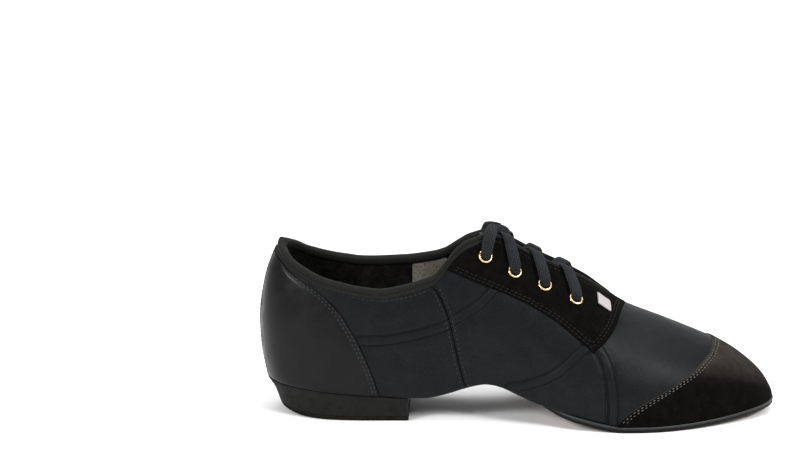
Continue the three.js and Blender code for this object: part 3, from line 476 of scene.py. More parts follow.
def cut_path(path, start, end):
    """The part of a line between two distances along it; end counts from the far end."""
    points, normals = path
    length = np.concatenate([[0], np.cumsum(np.linalg.norm(np.diff(points, axis=0), axis=1))])
    want = np.linspace(start, length[-1] - end, max(2, int(length[-1] / 0.8)))
    pick = lambda v: np.stack([np.interp(want, length, v[:, c]) for c in range(3)], -1)
    return pick(points), unit(pick(normals))


class Thread:
    """Stitches, gathered row by row into one mesh."""

    def __init__(self):
        self.vertices, self.faces = [], []

    def row(self, path, pitch=STITCH_PITCH, length=STITCH_LENGTH, radius=THREAD_RADIUS, sink=0.05, seed=1):
        rng = random.Random(seed)
        points, normals = path
        run = np.concatenate([[0], np.cumsum(np.linalg.norm(np.diff(points, axis=0), axis=1))])
        count = int(run[-1] / pitch)
        for k in range(count):
            middle = (k + 0.5) * pitch + rng.uniform(-0.06, 0.06)
            where = np.array([np.interp(middle, run, points[:, c]) for c in range(3)])
            ahead = np.array([np.interp(middle + 0.5, run, points[:, c]) for c in range(3)])
            up = unit(np.array([np.interp(middle, run, normals[:, c]) for c in range(3)]))
            tangent = ahead - where
            if np.linalg.norm(tangent) < 1e-6:
                continue
            tangent = unit(tangent + np.cross(up, tangent) * rng.uniform(-0.08, 0.08))
            side = unit(np.cross(up, tangent))
            self.capsule(where - up * sink, tangent, side, up, length, radius)

    def capsule(self, centre, tangent, side, up, length, radius, around=6):
        start = len(self.vertices)
        profile = [(-0.5, 0.25), (-0.38, 0.8), (-0.15, 1.0), (0.15, 1.0), (0.38, 0.8), (0.5, 0.25)]
        for share, size in profile:
            dip = -radius * 0.9 * (2 * abs(share)) ** 3
            for k in range(around):
                angle = 2 * math.pi * k / around
                offset = side * math.cos(angle) * radius * size + up * (math.sin(angle) * radius * size + dip)
                self.vertices.append(centre + tangent * share * length + offset)
        for i in range(len(profile) - 1):
            for k in range(around):
                a, b = start + i * around + k, start + i * around + (k + 1) % around
                self.faces.append((a, b, b + around, a + around))
        self.faces.append(tuple(start + k for k in reversed(range(around))))
        last = start + (len(profile) - 1) * around
        self.faces.append(tuple(last + k for k in range(around)))

    def make(self, name, material):
        return new_object(name, np.array(self.vertices), self.faces, material, sharp=80)



# ---- Camera ------------------------------------------------------------------------------------------------
CAMERA_PLACE = (103.866, -761.292, 239.346)
CAMERA_RIGHT = (0.99939, 0.0349, 0)
CAMERA_UP = (-0.00636, 0.182125, 0.983255)
CAMERA_AHEAD = (-0.034315, 0.982656, -0.182236)
camera_data = bpy.data.cameras.new("camera")
camera_data.sensor_width = 36
camera_data.lens = 63
camera = bpy.data.objects.new("camera", camera_data)
axes = Matrix((CAMERA_RIGHT, CAMERA_UP, [-v for v in CAMERA_AHEAD])).transposed().to_4x4()
camera.matrix_world = Matrix.Translation(Vector(metres(CAMERA_PLACE))) @ axes
bpy.context.scene.collection.objects.link(camera)
bpy.context.scene.camera = camera

# ---- Materials ---------------------------------------------------------------------------------------------


class Finish:
    """A material built of procedural nodes. Texture sizes are in millimetres."""

    def __init__(self, name, roughness=0.8, metallic=0.0, specular=0.5, sheen=0.0, sheen_tint=(1, 1, 1)):
        self.material = bpy.data.materials.new(name)
        self.material.use_nodes = True
        self.tree = self.material.node_tree
        self.shader = self.tree.nodes["Principled BSDF"]
        settings = {"Roughness": roughness, "Metallic": metallic, "Specular IOR Level": specular,
                    "Sheen Weight": sheen, "Sheen Roughness": 0.45, "Sheen Tint": (*sheen_tint, 1)}
        for socket, value in settings.items():
            self.shader.inputs[socket].default_value = value
        self.place = self.node("ShaderNodeTexCoord").outputs["Object"]
        self.sheet = self.node("ShaderNodeTexCoord").outputs["UV"]
        self.bump = None

    def node(self, kind, inputs=None, **settings):
        made = self.tree.nodes.new(kind)
        for key, value in settings.items():
            setattr(made, key, value)
        for key, value in (inputs or {}).items():
            if isinstance(value, bpy.types.NodeSocket):
                self.tree.links.new(value, made.inputs[key])
            else:
                made.inputs[key].default_value = value
        return made

    def link(self, output, socket):
        self.tree.links.new(output, self.shader.inputs[socket])

    def noise(self, size, detail=3.0, roughness=0.55, where=None):
        values = {"Vector": where or self.place, "Scale": 1000 / size, "Detail": detail,
                  "Roughness": roughness}
        return self.node("ShaderNodeTexNoise", values).outputs["Fac"]

    def cells(self, size, feature="F1", where=None):
        values = {"Vector": where or self.place, "Scale": 1000 / size}
        return self.node("ShaderNodeTexVoronoi", values, feature=feature).outputs["Distance"]

    def bands(self, period, direction, where=None):
        """Ridges along one axis of the sheet, a period apart."""
        values = {"Vector": where or self.sheet, "Scale": 1000 * math.pi / (10 * period)}
        return self.node("ShaderNodeTexWave", values, bands_direction=direction).outputs["Fac"]

    def attribute(self, name):
        return self.node("ShaderNodeAttribute", attribute_name=name).outputs["Fac"]

    def ramp(self, value, low, high, to_low=0.0, to_high=1.0):
        values = {"Value": value, "From Min": low, "From Max": high, "To Min": to_low, "To Max": to_high}
        return self.node("ShaderNodeMapRange", values, interpolation_type="SMOOTHSTEP").outputs["Result"]

    def math(self, operation, a, b):
        made = self.node("ShaderNodeMath", operation=operation)
        for k, value in enumerate((a, b)):
            if isinstance(value, bpy.types.NodeSocket):
                self.tree.links.new(value, made.inputs[k])
            else:
                made.inputs[k].default_value = value
        return made.outputs[0]

    def mix(self, share, a, b, kind="MIX"):
        made = self.node("ShaderNodeMix", data_type="RGBA", blend_type=kind)
        for k, value in ((0, share), (6, a), (7, b)):
            if isinstance(value, bpy.types.NodeSocket):
                self.tree.links.new(value, made.inputs[k])
            elif k:
                made.inputs[k].default_value = (*value, 1)
            else:
                made.inputs[k].default_value = value
        return made.outputs[2]

    def upward(self):
        """How far the surface faces up: 1 on top, 0 on a wall and -1 below."""
        normal = self.node("ShaderNodeNewGeometry").outputs["Normal"]
        return self.node("ShaderNodeSeparateXYZ", {"Vector": normal}).outputs["Z"]

    def colour(self, output):
        self.link(output, "Base Color")

    def relief(self, height, depth, strength=1.0):
        """Adds a bump of a height map, depth millimetres deep."""
        values = {"Height": height, "Distance": depth / 1000, "Strength": strength}
        if self.bump is not None:
            values["Normal"] = self.bump
        self.bump = self.node("ShaderNodeBump", values).outputs["Normal"]
        self.link(self.bump, "Normal")


def stretch_fabric():
    f = Finish("stretch_fabric", 0.44, specular=0.12, sheen=0.015, sheen_tint=(0.5, 0.62, 0.7))
    mottle = f.ramp(f.noise(9, 4), 0.32, 0.68)
    body = f.mix(mottle, (0.0017, 0.0023, 0.0026), (0.0031, 0.0041, 0.0045))
    fleck = f.ramp(f.noise(0.9, 2), 0.35, 0.75, 0.0, 0.5)
    body = f.mix(fleck, body, (0.0066, 0.0084, 0.0093))
    # Painted shade: the colour darkens in the narrow grooves along each welt's edges, where the bump also
    # dips.
    groove = f.ramp(f.math("ABSOLUTE", f.math("SUBTRACT", f.attribute("welt"), WELT_WIDTH / 2), 0), 0.1, 0.75)
    body = f.mix(groove, (0.0016, 0.002, 0.0025), body)
    # Painted shade: near-black along sewn seams, fading out within about SEAM_SHADE mm of the border.
    f.colour(f.mix(f.attribute("seam"), body, (0.0008, 0.0009, 0.001)))
    f.relief(groove, 0.55)
    knit = f.math("MULTIPLY", f.bands(0.7, "X"), f.bands(0.55, "Y"))
    f.relief(knit, 0.05, 0.6)
    f.relief(f.noise(1.1, 3), 0.16, 0.55)
    return f.material


def suede(name, dark, light, brown, fine=0.7):
    f = Finish(name, 0.95, specular=0.03, sheen=0.012, sheen_tint=(0.6, 0.52, 0.44))
    nap = f.ramp(f.noise(6, 5, 0.65), 0.35, 0.7)
    body = f.mix(nap, dark, light)
    fleck = f.ramp(f.noise(fine, 3, 0.7), 0.5, 0.8, 0.0, 0.75)
    body = f.mix(fleck, body, brown)
    f.colour(body)
    f.relief(f.noise(fine, 4, 0.7), 0.35, 0.8)
    f.relief(f.noise(3.2, 3), 0.3, 0.4)
    return f


def toe_suede():
    """The cap's suede gets a painted sheen on its top: paler and browner where it faces up, in patches."""
    f = suede("toe_suede", (0.0015, 0.0014, 0.0013), (0.0034, 0.003, 0.0027), (0.0085, 0.0075, 0.0065))
    up = f.upward()
    # Painted sheen: upward-facing suede is mixed towards a pale brown, as if lit from above.
    painted_top_sheen = f.math("MULTIPLY", f.ramp(up, 0.35, 0.9), f.ramp(f.noise(5, 4), 0.25, 0.7, 0.6, 1.0))
    before = f.shader.inputs["Base Color"].links[0].from_socket
    f.colour(f.mix(painted_top_sheen, before, (0.034, 0.029, 0.0245)))
    return f.material


def counter_leather():
    f = Finish("counter_leather", 0.34, specular=0.15)
    f.colour(f.mix(f.ramp(f.noise(14, 3), 0.3, 0.7), (0.0022, 0.0022, 0.0024), (0.004, 0.004, 0.0042)))
    f.link(f.ramp(f.noise(7, 4), 0.3, 0.7, 0.28, 0.4), "Roughness")
    f.relief(f.cells(0.75), 0.05, 0.7)
    f.relief(f.noise(2.6, 4), 0.12, 0.45)
    f.relief(f.noise(16, 2), 0.6, 0.3)
    return f.material


def binding_tape():
    f = Finish("binding_tape", 0.7, specular=0.12, sheen=0.02, sheen_tint=(0.6, 0.57, 0.5))
    ribs = f.bands(0.85, "X")
    body = f.mix(f.ramp(ribs, 0.1, 0.9), (0.003, 0.003, 0.0028), (0.0105, 0.0105, 0.0098))
    f.colour(f.mix(f.ramp(f.noise(5, 3), 0.35, 0.75, 0.0, 0.5), body, (0.0055, 0.0053, 0.005)))
    f.relief(ribs, 0.16, 0.8)
    f.relief(f.noise(0.5, 3), 0.08, 0.6)
    return f.material


def stay_leather():
    f = Finish("stay_leather", 0.42, specular=0.15)
    f.colour(f.mix(f.ramp(f.noise(8, 3), 0.3, 0.7), (0.005, 0.005, 0.0052), (0.0095, 0.009, 0.0088)))
    f.relief(f.cells(0.6), 0.06, 0.7)
    f.relief(f.noise(2.2, 4), 0.12, 0.5)
    return f.material


def mesh_lining():
    f = Finish("mesh_lining", 0.9, specular=0.2, sheen=0.1, sheen_tint=(0.8, 0.78, 0.7))
    holes = f.ramp(f.cells(1.15, where=f.sheet), 0.16, 0.32)
    body = f.mix(f.ramp(f.noise(10, 3), 0.3, 0.7), (0.115, 0.108, 0.088), (0.165, 0.155, 0.128))
    f.colour(f.mix(holes, (0.022, 0.02, 0.016), body))
    f.relief(holes, 0.35, 0.8)
    return f.material


def heel_rubber():
    f = Finish("heel_rubber", 0.6, specular=0.1)
    f.colour(f.mix(f.ramp(f.noise(5, 5, 0.65), 0.32, 0.7), (0.006, 0.006, 0.0057), (0.0095, 0.0095, 0.009)))
    f.link(f.ramp(f.noise(3, 3), 0.3, 0.7, 0.52, 0.74), "Roughness")
    f.relief(f.noise(0.8, 4, 0.7), 0.12, 0.7)
    f.relief(f.noise(9, 3), 0.4, 0.35)
    return f.material


def midsole_rubber():
    f = Finish("midsole_rubber", 0.42, specular=0.35)
    up = f.upward()
    body = f.mix(f.ramp(f.noise(4, 4), 0.3, 0.7), (0.006, 0.0068, 0.0076), (0.013, 0.0145, 0.016))
    # Painted highlight: the upward-facing top edge of the midsole is painted pale grey.
    f.colour(f.mix(f.ramp(up, 0.3, 0.9), body, (0.05, 0.052, 0.052)))
    f.relief(f.noise(1.2, 4), 0.12, 0.6)
    return f.material


def outsole_suede():
    """Chrome suede: beige under the ball, blackened round its cut edge."""
    f = Finish("outsole_suede", 0.95, specular=0.15, sheen=0.2, sheen_tint=(0.8, 0.7, 0.6))
    down = f.upward()
    nap = f.mix(f.ramp(f.noise(7, 5, 0.65), 0.3, 0.7), (0.17, 0.125, 0.085), (0.27, 0.205, 0.145))
    scuffed = f.mix(f.ramp(f.noise(24, 3), 0.5, 0.75), nap, (0.085, 0.066, 0.05))
    face = f.ramp(down, -0.95, -0.7, 1.0, 0.0)
    f.colour(f.mix(face, (0.0055, 0.005, 0.0048), scuffed))
    f.relief(f.noise(0.55, 4, 0.7), 0.4, 0.8)
    return f.material


def board(name, dark, light):
    f = Finish(name, 0.9, specular=0.2)
    f.colour(f.mix(f.ramp(f.noise(2.4, 5, 0.7), 0.3, 0.7), dark, light))
    f.relief(f.noise(0.8, 4, 0.7), 0.15, 0.7)
    return f.material


def brass():
    f = Finish("eyelet_brass", 0.24, metallic=1.0)
    f.colour(f.mix(f.ramp(f.noise(2.2, 3), 0.35, 0.75), (0.86, 0.66, 0.33), (0.72, 0.52, 0.22)))
    f.link(f.ramp(f.noise(1.4, 4), 0.3, 0.7, 0.16, 0.36), "Roughness")
    f.relief(f.noise(0.8, 2), 0.006, 0.3)
    return f.material


def steel():
    f = Finish("nail_steel", 0.4, metallic=1.0)
    f.colour(f.mix(f.ramp(f.noise(1.5, 3), 0.35, 0.75), (0.42, 0.42, 0.41), (0.3, 0.3, 0.3)))
    return f.material


def lace_weave():
    f = Finish("lace_weave", 0.8, specular=0.15, sheen=0.1, sheen_tint=(0.55, 0.62, 0.7))
    across = f.node("ShaderNodeSeparateXYZ", {"Vector": f.sheet})
    bent = f.math("ABSOLUTE", across.outputs["Y"], 0)
    slanted = f.node("ShaderNodeCombineXYZ", {"X": f.math("ADD", across.outputs["X"], bent)}).outputs[0]
    twill = f.bands(1.25, "X", slanted)
    rows = f.bands(1.0, "Y")
    body = f.mix(f.ramp(f.noise(3, 4), 0.3, 0.7), (0.0095, 0.011, 0.0135), (0.021, 0.0235, 0.028))
    f.colour(f.mix(f.ramp(f.math("MULTIPLY", twill, rows), 0.05, 0.7), (0.0022, 0.0026, 0.0033), body))
    f.relief(twill, 0.4, 0.85)
    f.relief(rows, 0.4, 0.85)
    f.relief(f.noise(0.4, 3), 0.08, 0.5)
    return f.material


def plastic():
    f = Finish("aglet_plastic", 0.3, specular=0.5)
    f.colour(f.mix(f.ramp(f.noise(2, 3), 0.3, 0.7), (0.006, 0.006, 0.0065), (0.012, 0.012, 0.013)))
    f.relief(f.noise(1.8, 3), 0.05, 0.5)
    return f.material


def thread(name, dark, light):
    f = Finish(name, 0.7, specular=0.25, sheen=0.05)
    f.colour(f.mix(f.ramp(f.noise(1.6, 3), 0.3, 0.7), dark, light))
    f.relief(f.noise(0.25, 2), 0.04, 0.6)
    return f.material


def woven_tag():
    f = Finish("woven_tag", 0.75, specular=0.3, sheen=0.15)
    weave = f.math("MULTIPLY", f.bands(0.5, "X"), f.bands(0.4, "Y"))
    f.colour(f.mix(f.ramp(weave, 0.1, 0.8), (0.3, 0.275, 0.275), (0.5, 0.465, 0.46)))
    f.relief(weave, 0.06, 0.6)
    return f.material


FABRIC_FINISH = stretch_fabric()
SUEDE_FINISH = suede("overlay_suede", (0.0014, 0.0013, 0.0012), (0.003, 0.0027, 0.0025),
                     (0.0085, 0.0078, 0.007)).material
TOE_SUEDE_FINISH = toe_suede()
LEATHER_FINISH = counter_leather()
STAY_FINISH = stay_leather()
BINDING_FINISH = binding_tape()
MESH_FINISH = mesh_lining()
HEEL_LINING_FINISH = suede("heel_suede_lining", (0.003, 0.0028, 0.0026), (0.009, 0.0085, 0.008),
                           (0.02, 0.0185, 0.017), 1.1).material
SOCK_FINISH = suede("sock_lining", (0.012, 0.011, 0.01), (0.026, 0.024, 0.021), (0.04, 0.037, 0.033),
                    0.9).material
RUBBER_FINISH = heel_rubber()
TIP_FINISH = suede("heel_tip_suede", (0.006, 0.0056, 0.005), (0.013, 0.012, 0.0105),
                   (0.024, 0.022, 0.019)).material
MIDSOLE_FINISH = midsole_rubber()
OUTSOLE_FINISH = outsole_suede()
SOLE_BOARD_FINISH = board("sole_board", (0.12, 0.09, 0.06), (0.2, 0.155, 0.105))
INSOLE_BOARD_FINISH = board("insole_board", (0.1, 0.08, 0.055), (0.17, 0.135, 0.095))
BRASS_FINISH = brass()
STEEL_FINISH = steel()
LACE_FINISH = lace_weave()
PLASTIC_FINISH = plastic()
THREAD_FINISH = thread("dark_thread", (0.0095, 0.0108, 0.012), (0.018, 0.02, 0.022))
BLACK_THREAD_FINISH = thread("black_thread", (0.0014, 0.0014, 0.0014), (0.003, 0.003, 0.003))
PALE_THREAD_FINISH = thread("cap_thread", (0.06, 0.06, 0.058), (0.12, 0.12, 0.115))
TAG_FINISH = woven_tag()


def fit(obj, motion, slot, *nodes):
    """Attaches a piece to the empty of its body, or for the waist and ball bakes its place into its mesh, and
    hides the CAD nodes it stands for.

    slot is not used.
    """
    if motion == "waist":
        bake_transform(obj)
    elif motion == "ball":
        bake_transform(obj)
    else:
        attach(obj, motion)
    if nodes:
        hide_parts(*nodes)


# ---- Lace: cords first -------------------------------------------------------------------------------------
LACE_RADIUS, LAYER_GAP = 0.9, 0.45
LACE_UNDER, LACE_OVER = 4.8, 3.1
LACE_WIDTH, LACE_THICKNESS = 6.0, 1.5
LACED_WIDTH, LACED_THICKNESS = 6.8, 2.1  # drawn tight, the lace stands fuller than its hanging ends
CROSSING_LOWER = LACE_RADIUS + LAYER_GAP - TONGUE_FACE
CROSSING_UPPER = CROSSING_LOWER + 2 * LACE_RADIUS + LAYER_GAP
HANG_HEIGHT = PROUD + 2 * GAP + LACE_RADIUS
AGLET_LENGTH = 14.0
CREST_DIRECTION = unit(np.array([0.9, 0.05, -0.43]))


def above(x, rise, height):
    return off(over, turn_of(x), rise, height)


def centripetal(points, spacing=0.8):
    """Points on a smooth curve through the given ones, which it follows closely at uneven steps."""
    p = np.asarray(points, float)
    p = np.vstack([2 * p[0] - p[1], p, 2 * p[-1] - p[-2]])
    t = np.linspace(0, 1, 20, endpoint=False)[:, None]
    parts = []
    for a, b, c, d in zip(p, p[1:], p[2:], p[3:]):
        u, v, w = (max(float(np.linalg.norm(y - x)), 1e-4) ** 0.5 for x, y in ((a, b), (b, c), (c, d)))
        first = ((b - a) / u - (c - a) / (u + v) + (c - b) / v) * v
        last = ((c - b) / v - (d - b) / (v + w) + (d - c) / w) * v
        square, cube = -3 * b + 3 * c - 2 * first - last, 2 * b - 2 * c + first + last
        parts.append(b + first * t + square * t**2 + cube * t**3)
    dense = np.vstack([*parts, p[-2:-1]])
    length = np.concatenate([[0], np.cumsum(np.linalg.norm(np.diff(dense, axis=0), axis=1))])
    want = np.linspace(0, length[-1], max(4, int(length[-1] / spacing)))
    return np.stack([np.interp(want, length, dense[:, k]) for k in range(3)], -1)


def ribbon_mesh(path, width, thickness, across, sides=18):
    """A flat woven lace: vertices, faces and UVs. width and thickness are per point; across is widthways."""
    tangent = unit(np.gradient(path, axis=0))
    side = unit(across - np.sum(across * tangent, -1, keepdims=True) * tangent)
    up = np.cross(tangent, side)
    run = np.concatenate([[0], np.cumsum(np.linalg.norm(np.diff(path, axis=0), axis=1))])
    angle = 2 * np.pi * np.arange(sides) / sides
    cx = np.sign(np.cos(angle)) * np.abs(np.cos(angle)) ** 0.8
    cy = np.sign(np.sin(angle)) * np.abs(np.sin(angle)) ** 0.8
    rings = (path[:, None] + side[:, None] * (cx[:, None] * width[:, None, None] / 2)
             + up[:, None] * (cy[:, None] * thickness[:, None, None] / 2))
    uv = np.stack(np.broadcast_arrays(run[:, None], cx[None] * width[:, None] / 2), -1) / 1000
    m = len(path)
    faces = []
    for i in range(m - 1):
        for k in range(sides):
            a, b = i * sides + k, i * sides + (k + 1) % sides
            faces.append((a, b, b + sides, a + sides))
    faces.append(tuple(reversed(range(sides))))
    faces.append(tuple((m - 1) * sides + k for k in range(sides)))
    return rings.reshape(-1, 3), faces, uv.reshape(-1, 2)


def ribbon(name, points, across, width=LACE_WIDTH, thickness=LACE_THICKNESS, pinches=(), ends=(1.0, 1.0)):
    """A lace along points, gathered where it goes through each of the pinches, and tapered at its ends."""
    path = centripetal(points)
    gather = np.zeros(len(path))
    for place_ in pinches:
        gather = np.maximum(gather, np.exp(-(np.linalg.norm(path - place_, axis=1) / 3.0) ** 2))
    widths = width * (1 - 0.36 * gather)
    heights = thickness * (1 + 0.45 * gather)
    run = np.concatenate([[0], np.cumsum(np.linalg.norm(np.diff(path, axis=0), axis=1))])
    for end, distance in zip(ends, (run, run[-1] - run)):
        taper = end + (1 - end) * np.clip(distance / 7.0, 0, 1) ** 0.6
        widths = widths * taper
    across = np.broadcast_to(np.asarray(across, float), path.shape)
    vertices, faces, uv = ribbon_mesh(path, widths, heights, across)
    return new_object(name, vertices, faces, LACE_FINISH, uv, sharp=75), path


KNOT_STATION = 128.4
KNOT_SHIFT = np.array([2.4, 0, -3.6])  # down into the strands that lead to it
knot_foot = above(KNOT_STATION, 90, 0) + KNOT_SHIFT

# Each free end as rows of station and rise: between the two top eyelets, then down the inner wall.
LACE_ENDS = [
    [[129.4, 97.5], [129.5, 108], [129.4, 116], [129.2, 125], [128.2, 134], [126.4, 143], [124.9, 152],
     [123.9, 160],
     [123.4, 167]],
    [[131.8, 97], [132.1, 108], [132.3, 116], [133, 125], [135.4, 134], [139.4, 143], [143.4, 152],
     [146.4, 160],
     [148.4, 167]]]
for k, rows in enumerate(LACE_ENDS):
    points = [above(x, rise, HANG_HEIGHT) for x, rise in rows]
    side = np.array([0.75, 0.0, -0.2])
    hanging, path = ribbon(f"lace_end_{k + 1}_weave", points, side, ends=(1.0, 0.42))
    fit(hanging, "midfoot", "lace_cord", f"lace_end_{k + 1}")
    down = unit(path[-1] - path[-4])
    tube = [path[-1] + down * (GAP + AGLET_LENGTH * share) for share in np.linspace(-0.1, 1, 14)]
    radius = [1.15, 1.32, 1.3, 1.28, 1.26, 1.24, 1.22, 1.2, 1.18, 1.15, 1.1, 1.02, 0.85, 0.4]
    across = np.broadcast_to(side, (14, 3))
    widths = 2 * np.array(radius)
    vertices, faces, uv = ribbon_mesh(np.array(tube), widths * 1.08, widths * 0.92, across, sides=24)
    aglet = new_object(f"aglet_{k + 1}_tube", vertices, faces, PLASTIC_FINISH, uv)
    fit(aglet, "midfoot", "aglet_plastic", f"aglet_{k + 1}")


def eyelet_frame(side, k):
    turn, rise = place(EYELETS[k])
    rise = rise if side < 0 else 180 - rise
    return over(turn, rise), outward(over, turn, rise)


def on_axis(side, k, height):
    centre, axis = eyelet_frame(side, k)
    return centre + axis * height


def crossing(side, start, end):
    """From an eyelet over the facing's edge, across the throat and under the other one to the next."""
    (xa, _), (xb, _) = EYELETS[start], EYELETS[end]
    rise_a, rise_b = place(EYELETS[start])[1], place(EYELETS[end])[1]
    middle = CROSSING_UPPER if side * (1 if start % 2 else -1) > 0 else CROSSING_LOWER

    def point(share, height):
        rise = rise_a + (180 - rise_b - rise_a) * share
        return above(xa + (xb - xa) * share, rise if side < 0 else 180 - rise, height)

    return [on_axis(side, start, -1.5), on_axis(side, start, 2), point(0.06, LACE_OVER),
            point(0.17, LACE_OVER),
            point(0.31, 2.7), point(0.5, middle), point(0.66, -4.2), point(0.8, -LACE_UNDER),
            point(0.92, -LACE_UNDER),
            on_axis(-side, end, 1.2 - LACE_UNDER)]


def strand(start):
    points, side = [], start
    for k in range(len(EYELETS) - 1, 0, -1):
        points += crossing(side, k, k - 1)
        side = -side
    rise = place(EYELETS[0])[1]
    x = EYELETS[0][0]

    def way(share):
        return rise + (90 - rise) * share if side < 0 else 180 - rise - (90 - rise) * share

    return points + [on_axis(side, 0, -1.5), on_axis(side, 0, 2), above(x + 0.4, way(0.12), LACE_OVER),
                     above(x + 1.8, way(0.4), LACE_OVER), above(x + 4.4, way(0.84), LACE_OVER - 1.9)]


last = len(EYELETS) - 1
bar = [above(EYELETS[last][0], 90 + angle, -LACE_UNDER) for angle in (-24, -12, -4, 4, 12, 24)]
route = (strand(-1)[::-1] + [on_axis(-1, last, 1.2 - LACE_UNDER)] + bar + [on_axis(1, last, 1.2 - LACE_UNDER)]
         + strand(1))
pinches = [on_axis(side, k, 0) for side in (-1, 1) for k in range(len(EYELETS))]
laced, _ = ribbon("lace_weave", route, CREST_DIRECTION, width=LACED_WIDTH, thickness=LACED_THICKNESS,
                  pinches=pinches, ends=(0.55, 0.55))
fit(laced, "midfoot", "lace_cord", "lace")

# The knot: a loop over the crest, a smaller one behind it and the band that is drawn tight round them.
knot_at = lambda rows: [knot_foot + np.array(row) for row in rows]
front_loop = knot_at([[-6.4, -6.5, -5], [-6.4, -6.2, -2.6], [-4.8, -5.4, -0.2], [-1.4, -4.6, 2.2],
                      [2.8, -4.0, 2.4],
                      [5.8, -3.6, 0.2], [6.2, -3.2, -3.2], [4.2, -2.2, -5]])
back_loop = knot_at([[-5.0, 3.0, -4], [-6.0, 4.4, -1.4], [-3.6, 5.2, 1.2], [0.6, 5.4, 2.0], [4.2, 5.0, 0.8],
                     [5.6, 4.2, -2.2], [4.0, 3, -4.6]])
band = knot_at([[-1.0, -5.6, -5], [-0.8, -6.6, -2.4], [-0.2, -4.6, 0.6], [0.4, -0.6, 1.6], [0.8, 4.0, 0.8],
                [1, 6.2, -2], [0.8, 5, -4.6]])
core = knot_at([[-6.0, -1.6, -3], [-3, -0.6, -0.9], [1.5, 0.6, -0.8], [5.8, 1.4, -3.2]])
knot_parts = []
for points, across, width in ((front_loop, (0.15, 0.75, 0.65), 5.4), (back_loop, (0.1, 0.9, -0.4), 5.2),
                              (band, (1, 0.1, 0.1), 5.6), (core, (0.05, 1, 0.05), 5.2)):
    made, _ = ribbon("knot_part", points, across, width=width, thickness=2.0)
    knot_parts.append(made)
with bpy.context.temp_override(active_object=knot_parts[0], selected_editable_objects=knot_parts,
                               selected_objects=knot_parts):
    bpy.ops.object.join()
knot = knot_parts[0]
knot.name = "lace_knot_weave"
fit(knot, "midfoot", "lace_cord", "lace_knot")

# ---- Panels of the upper -----------------------------------------------------------------------------------
COUNTER_TOP, FACING_CORNER, LINING_FRONT = 9.0, 103.5, 84.0
COUNTER_THREAD = 0.33  # the thread along the counter's edge is the thickest
FREE_EDGE = 0.85  # rounding of a cut leather or suede edge
FOLD = 0.7  # rounding of fabric at a sewn seam
TUCK = -0.5  # fabric runs this far under an overlay
UNDER = -0.6  # the upper runs this far below the feather line


def stay_turn():
    turn = 0.0
    while along(HALF_LATERAL, turn) < STAY_HALF_WIDTH:
        turn += 1e-5
    return turn


def ground(start, end):
    return [(start, 0.0), (end, 0.0)]


back_turn = stay_turn()
welts = {}
for side in (-1, 1):
    for name, rows in (("quarter", WELT_QUARTER), ("arch", WELT_ARCH), ("ball", WELT_BALL)):
        places = spline([(t * TURN_WEIGHT, r) for t, r in map(place, rows)], 60)
        welts[side, name] = on_wall(side, places[:, 0] / TURN_WEIGHT, places[:, 1])


def welt_relief(*paths, seed=1):
    def relief(skin, distances):
        d = np.full(skin.shape[:-1], 50.0)
        for path in paths:
            d = np.minimum(d, distance_to(skin, path))
        raised = np.clip((WELT_WIDTH / 2 + 0.5 - d) / 1.2, 0, 1)
        raised = raised * raised * (3 - 2 * raised)
        beside = np.exp(-(((d - WELT_WIDTH / 2) / 1.1) ** 2))
        folds = 0.16 * smooth_noise(skin, 26, seed) + 0.05 * smooth_noise(skin, 7, seed + 9)
        return 0.42 * raised - 0.3 * beside + folds
    return relief


def soft(amount, scale, seed):
    return lambda skin, distances: amount * smooth_noise(skin, scale, seed)


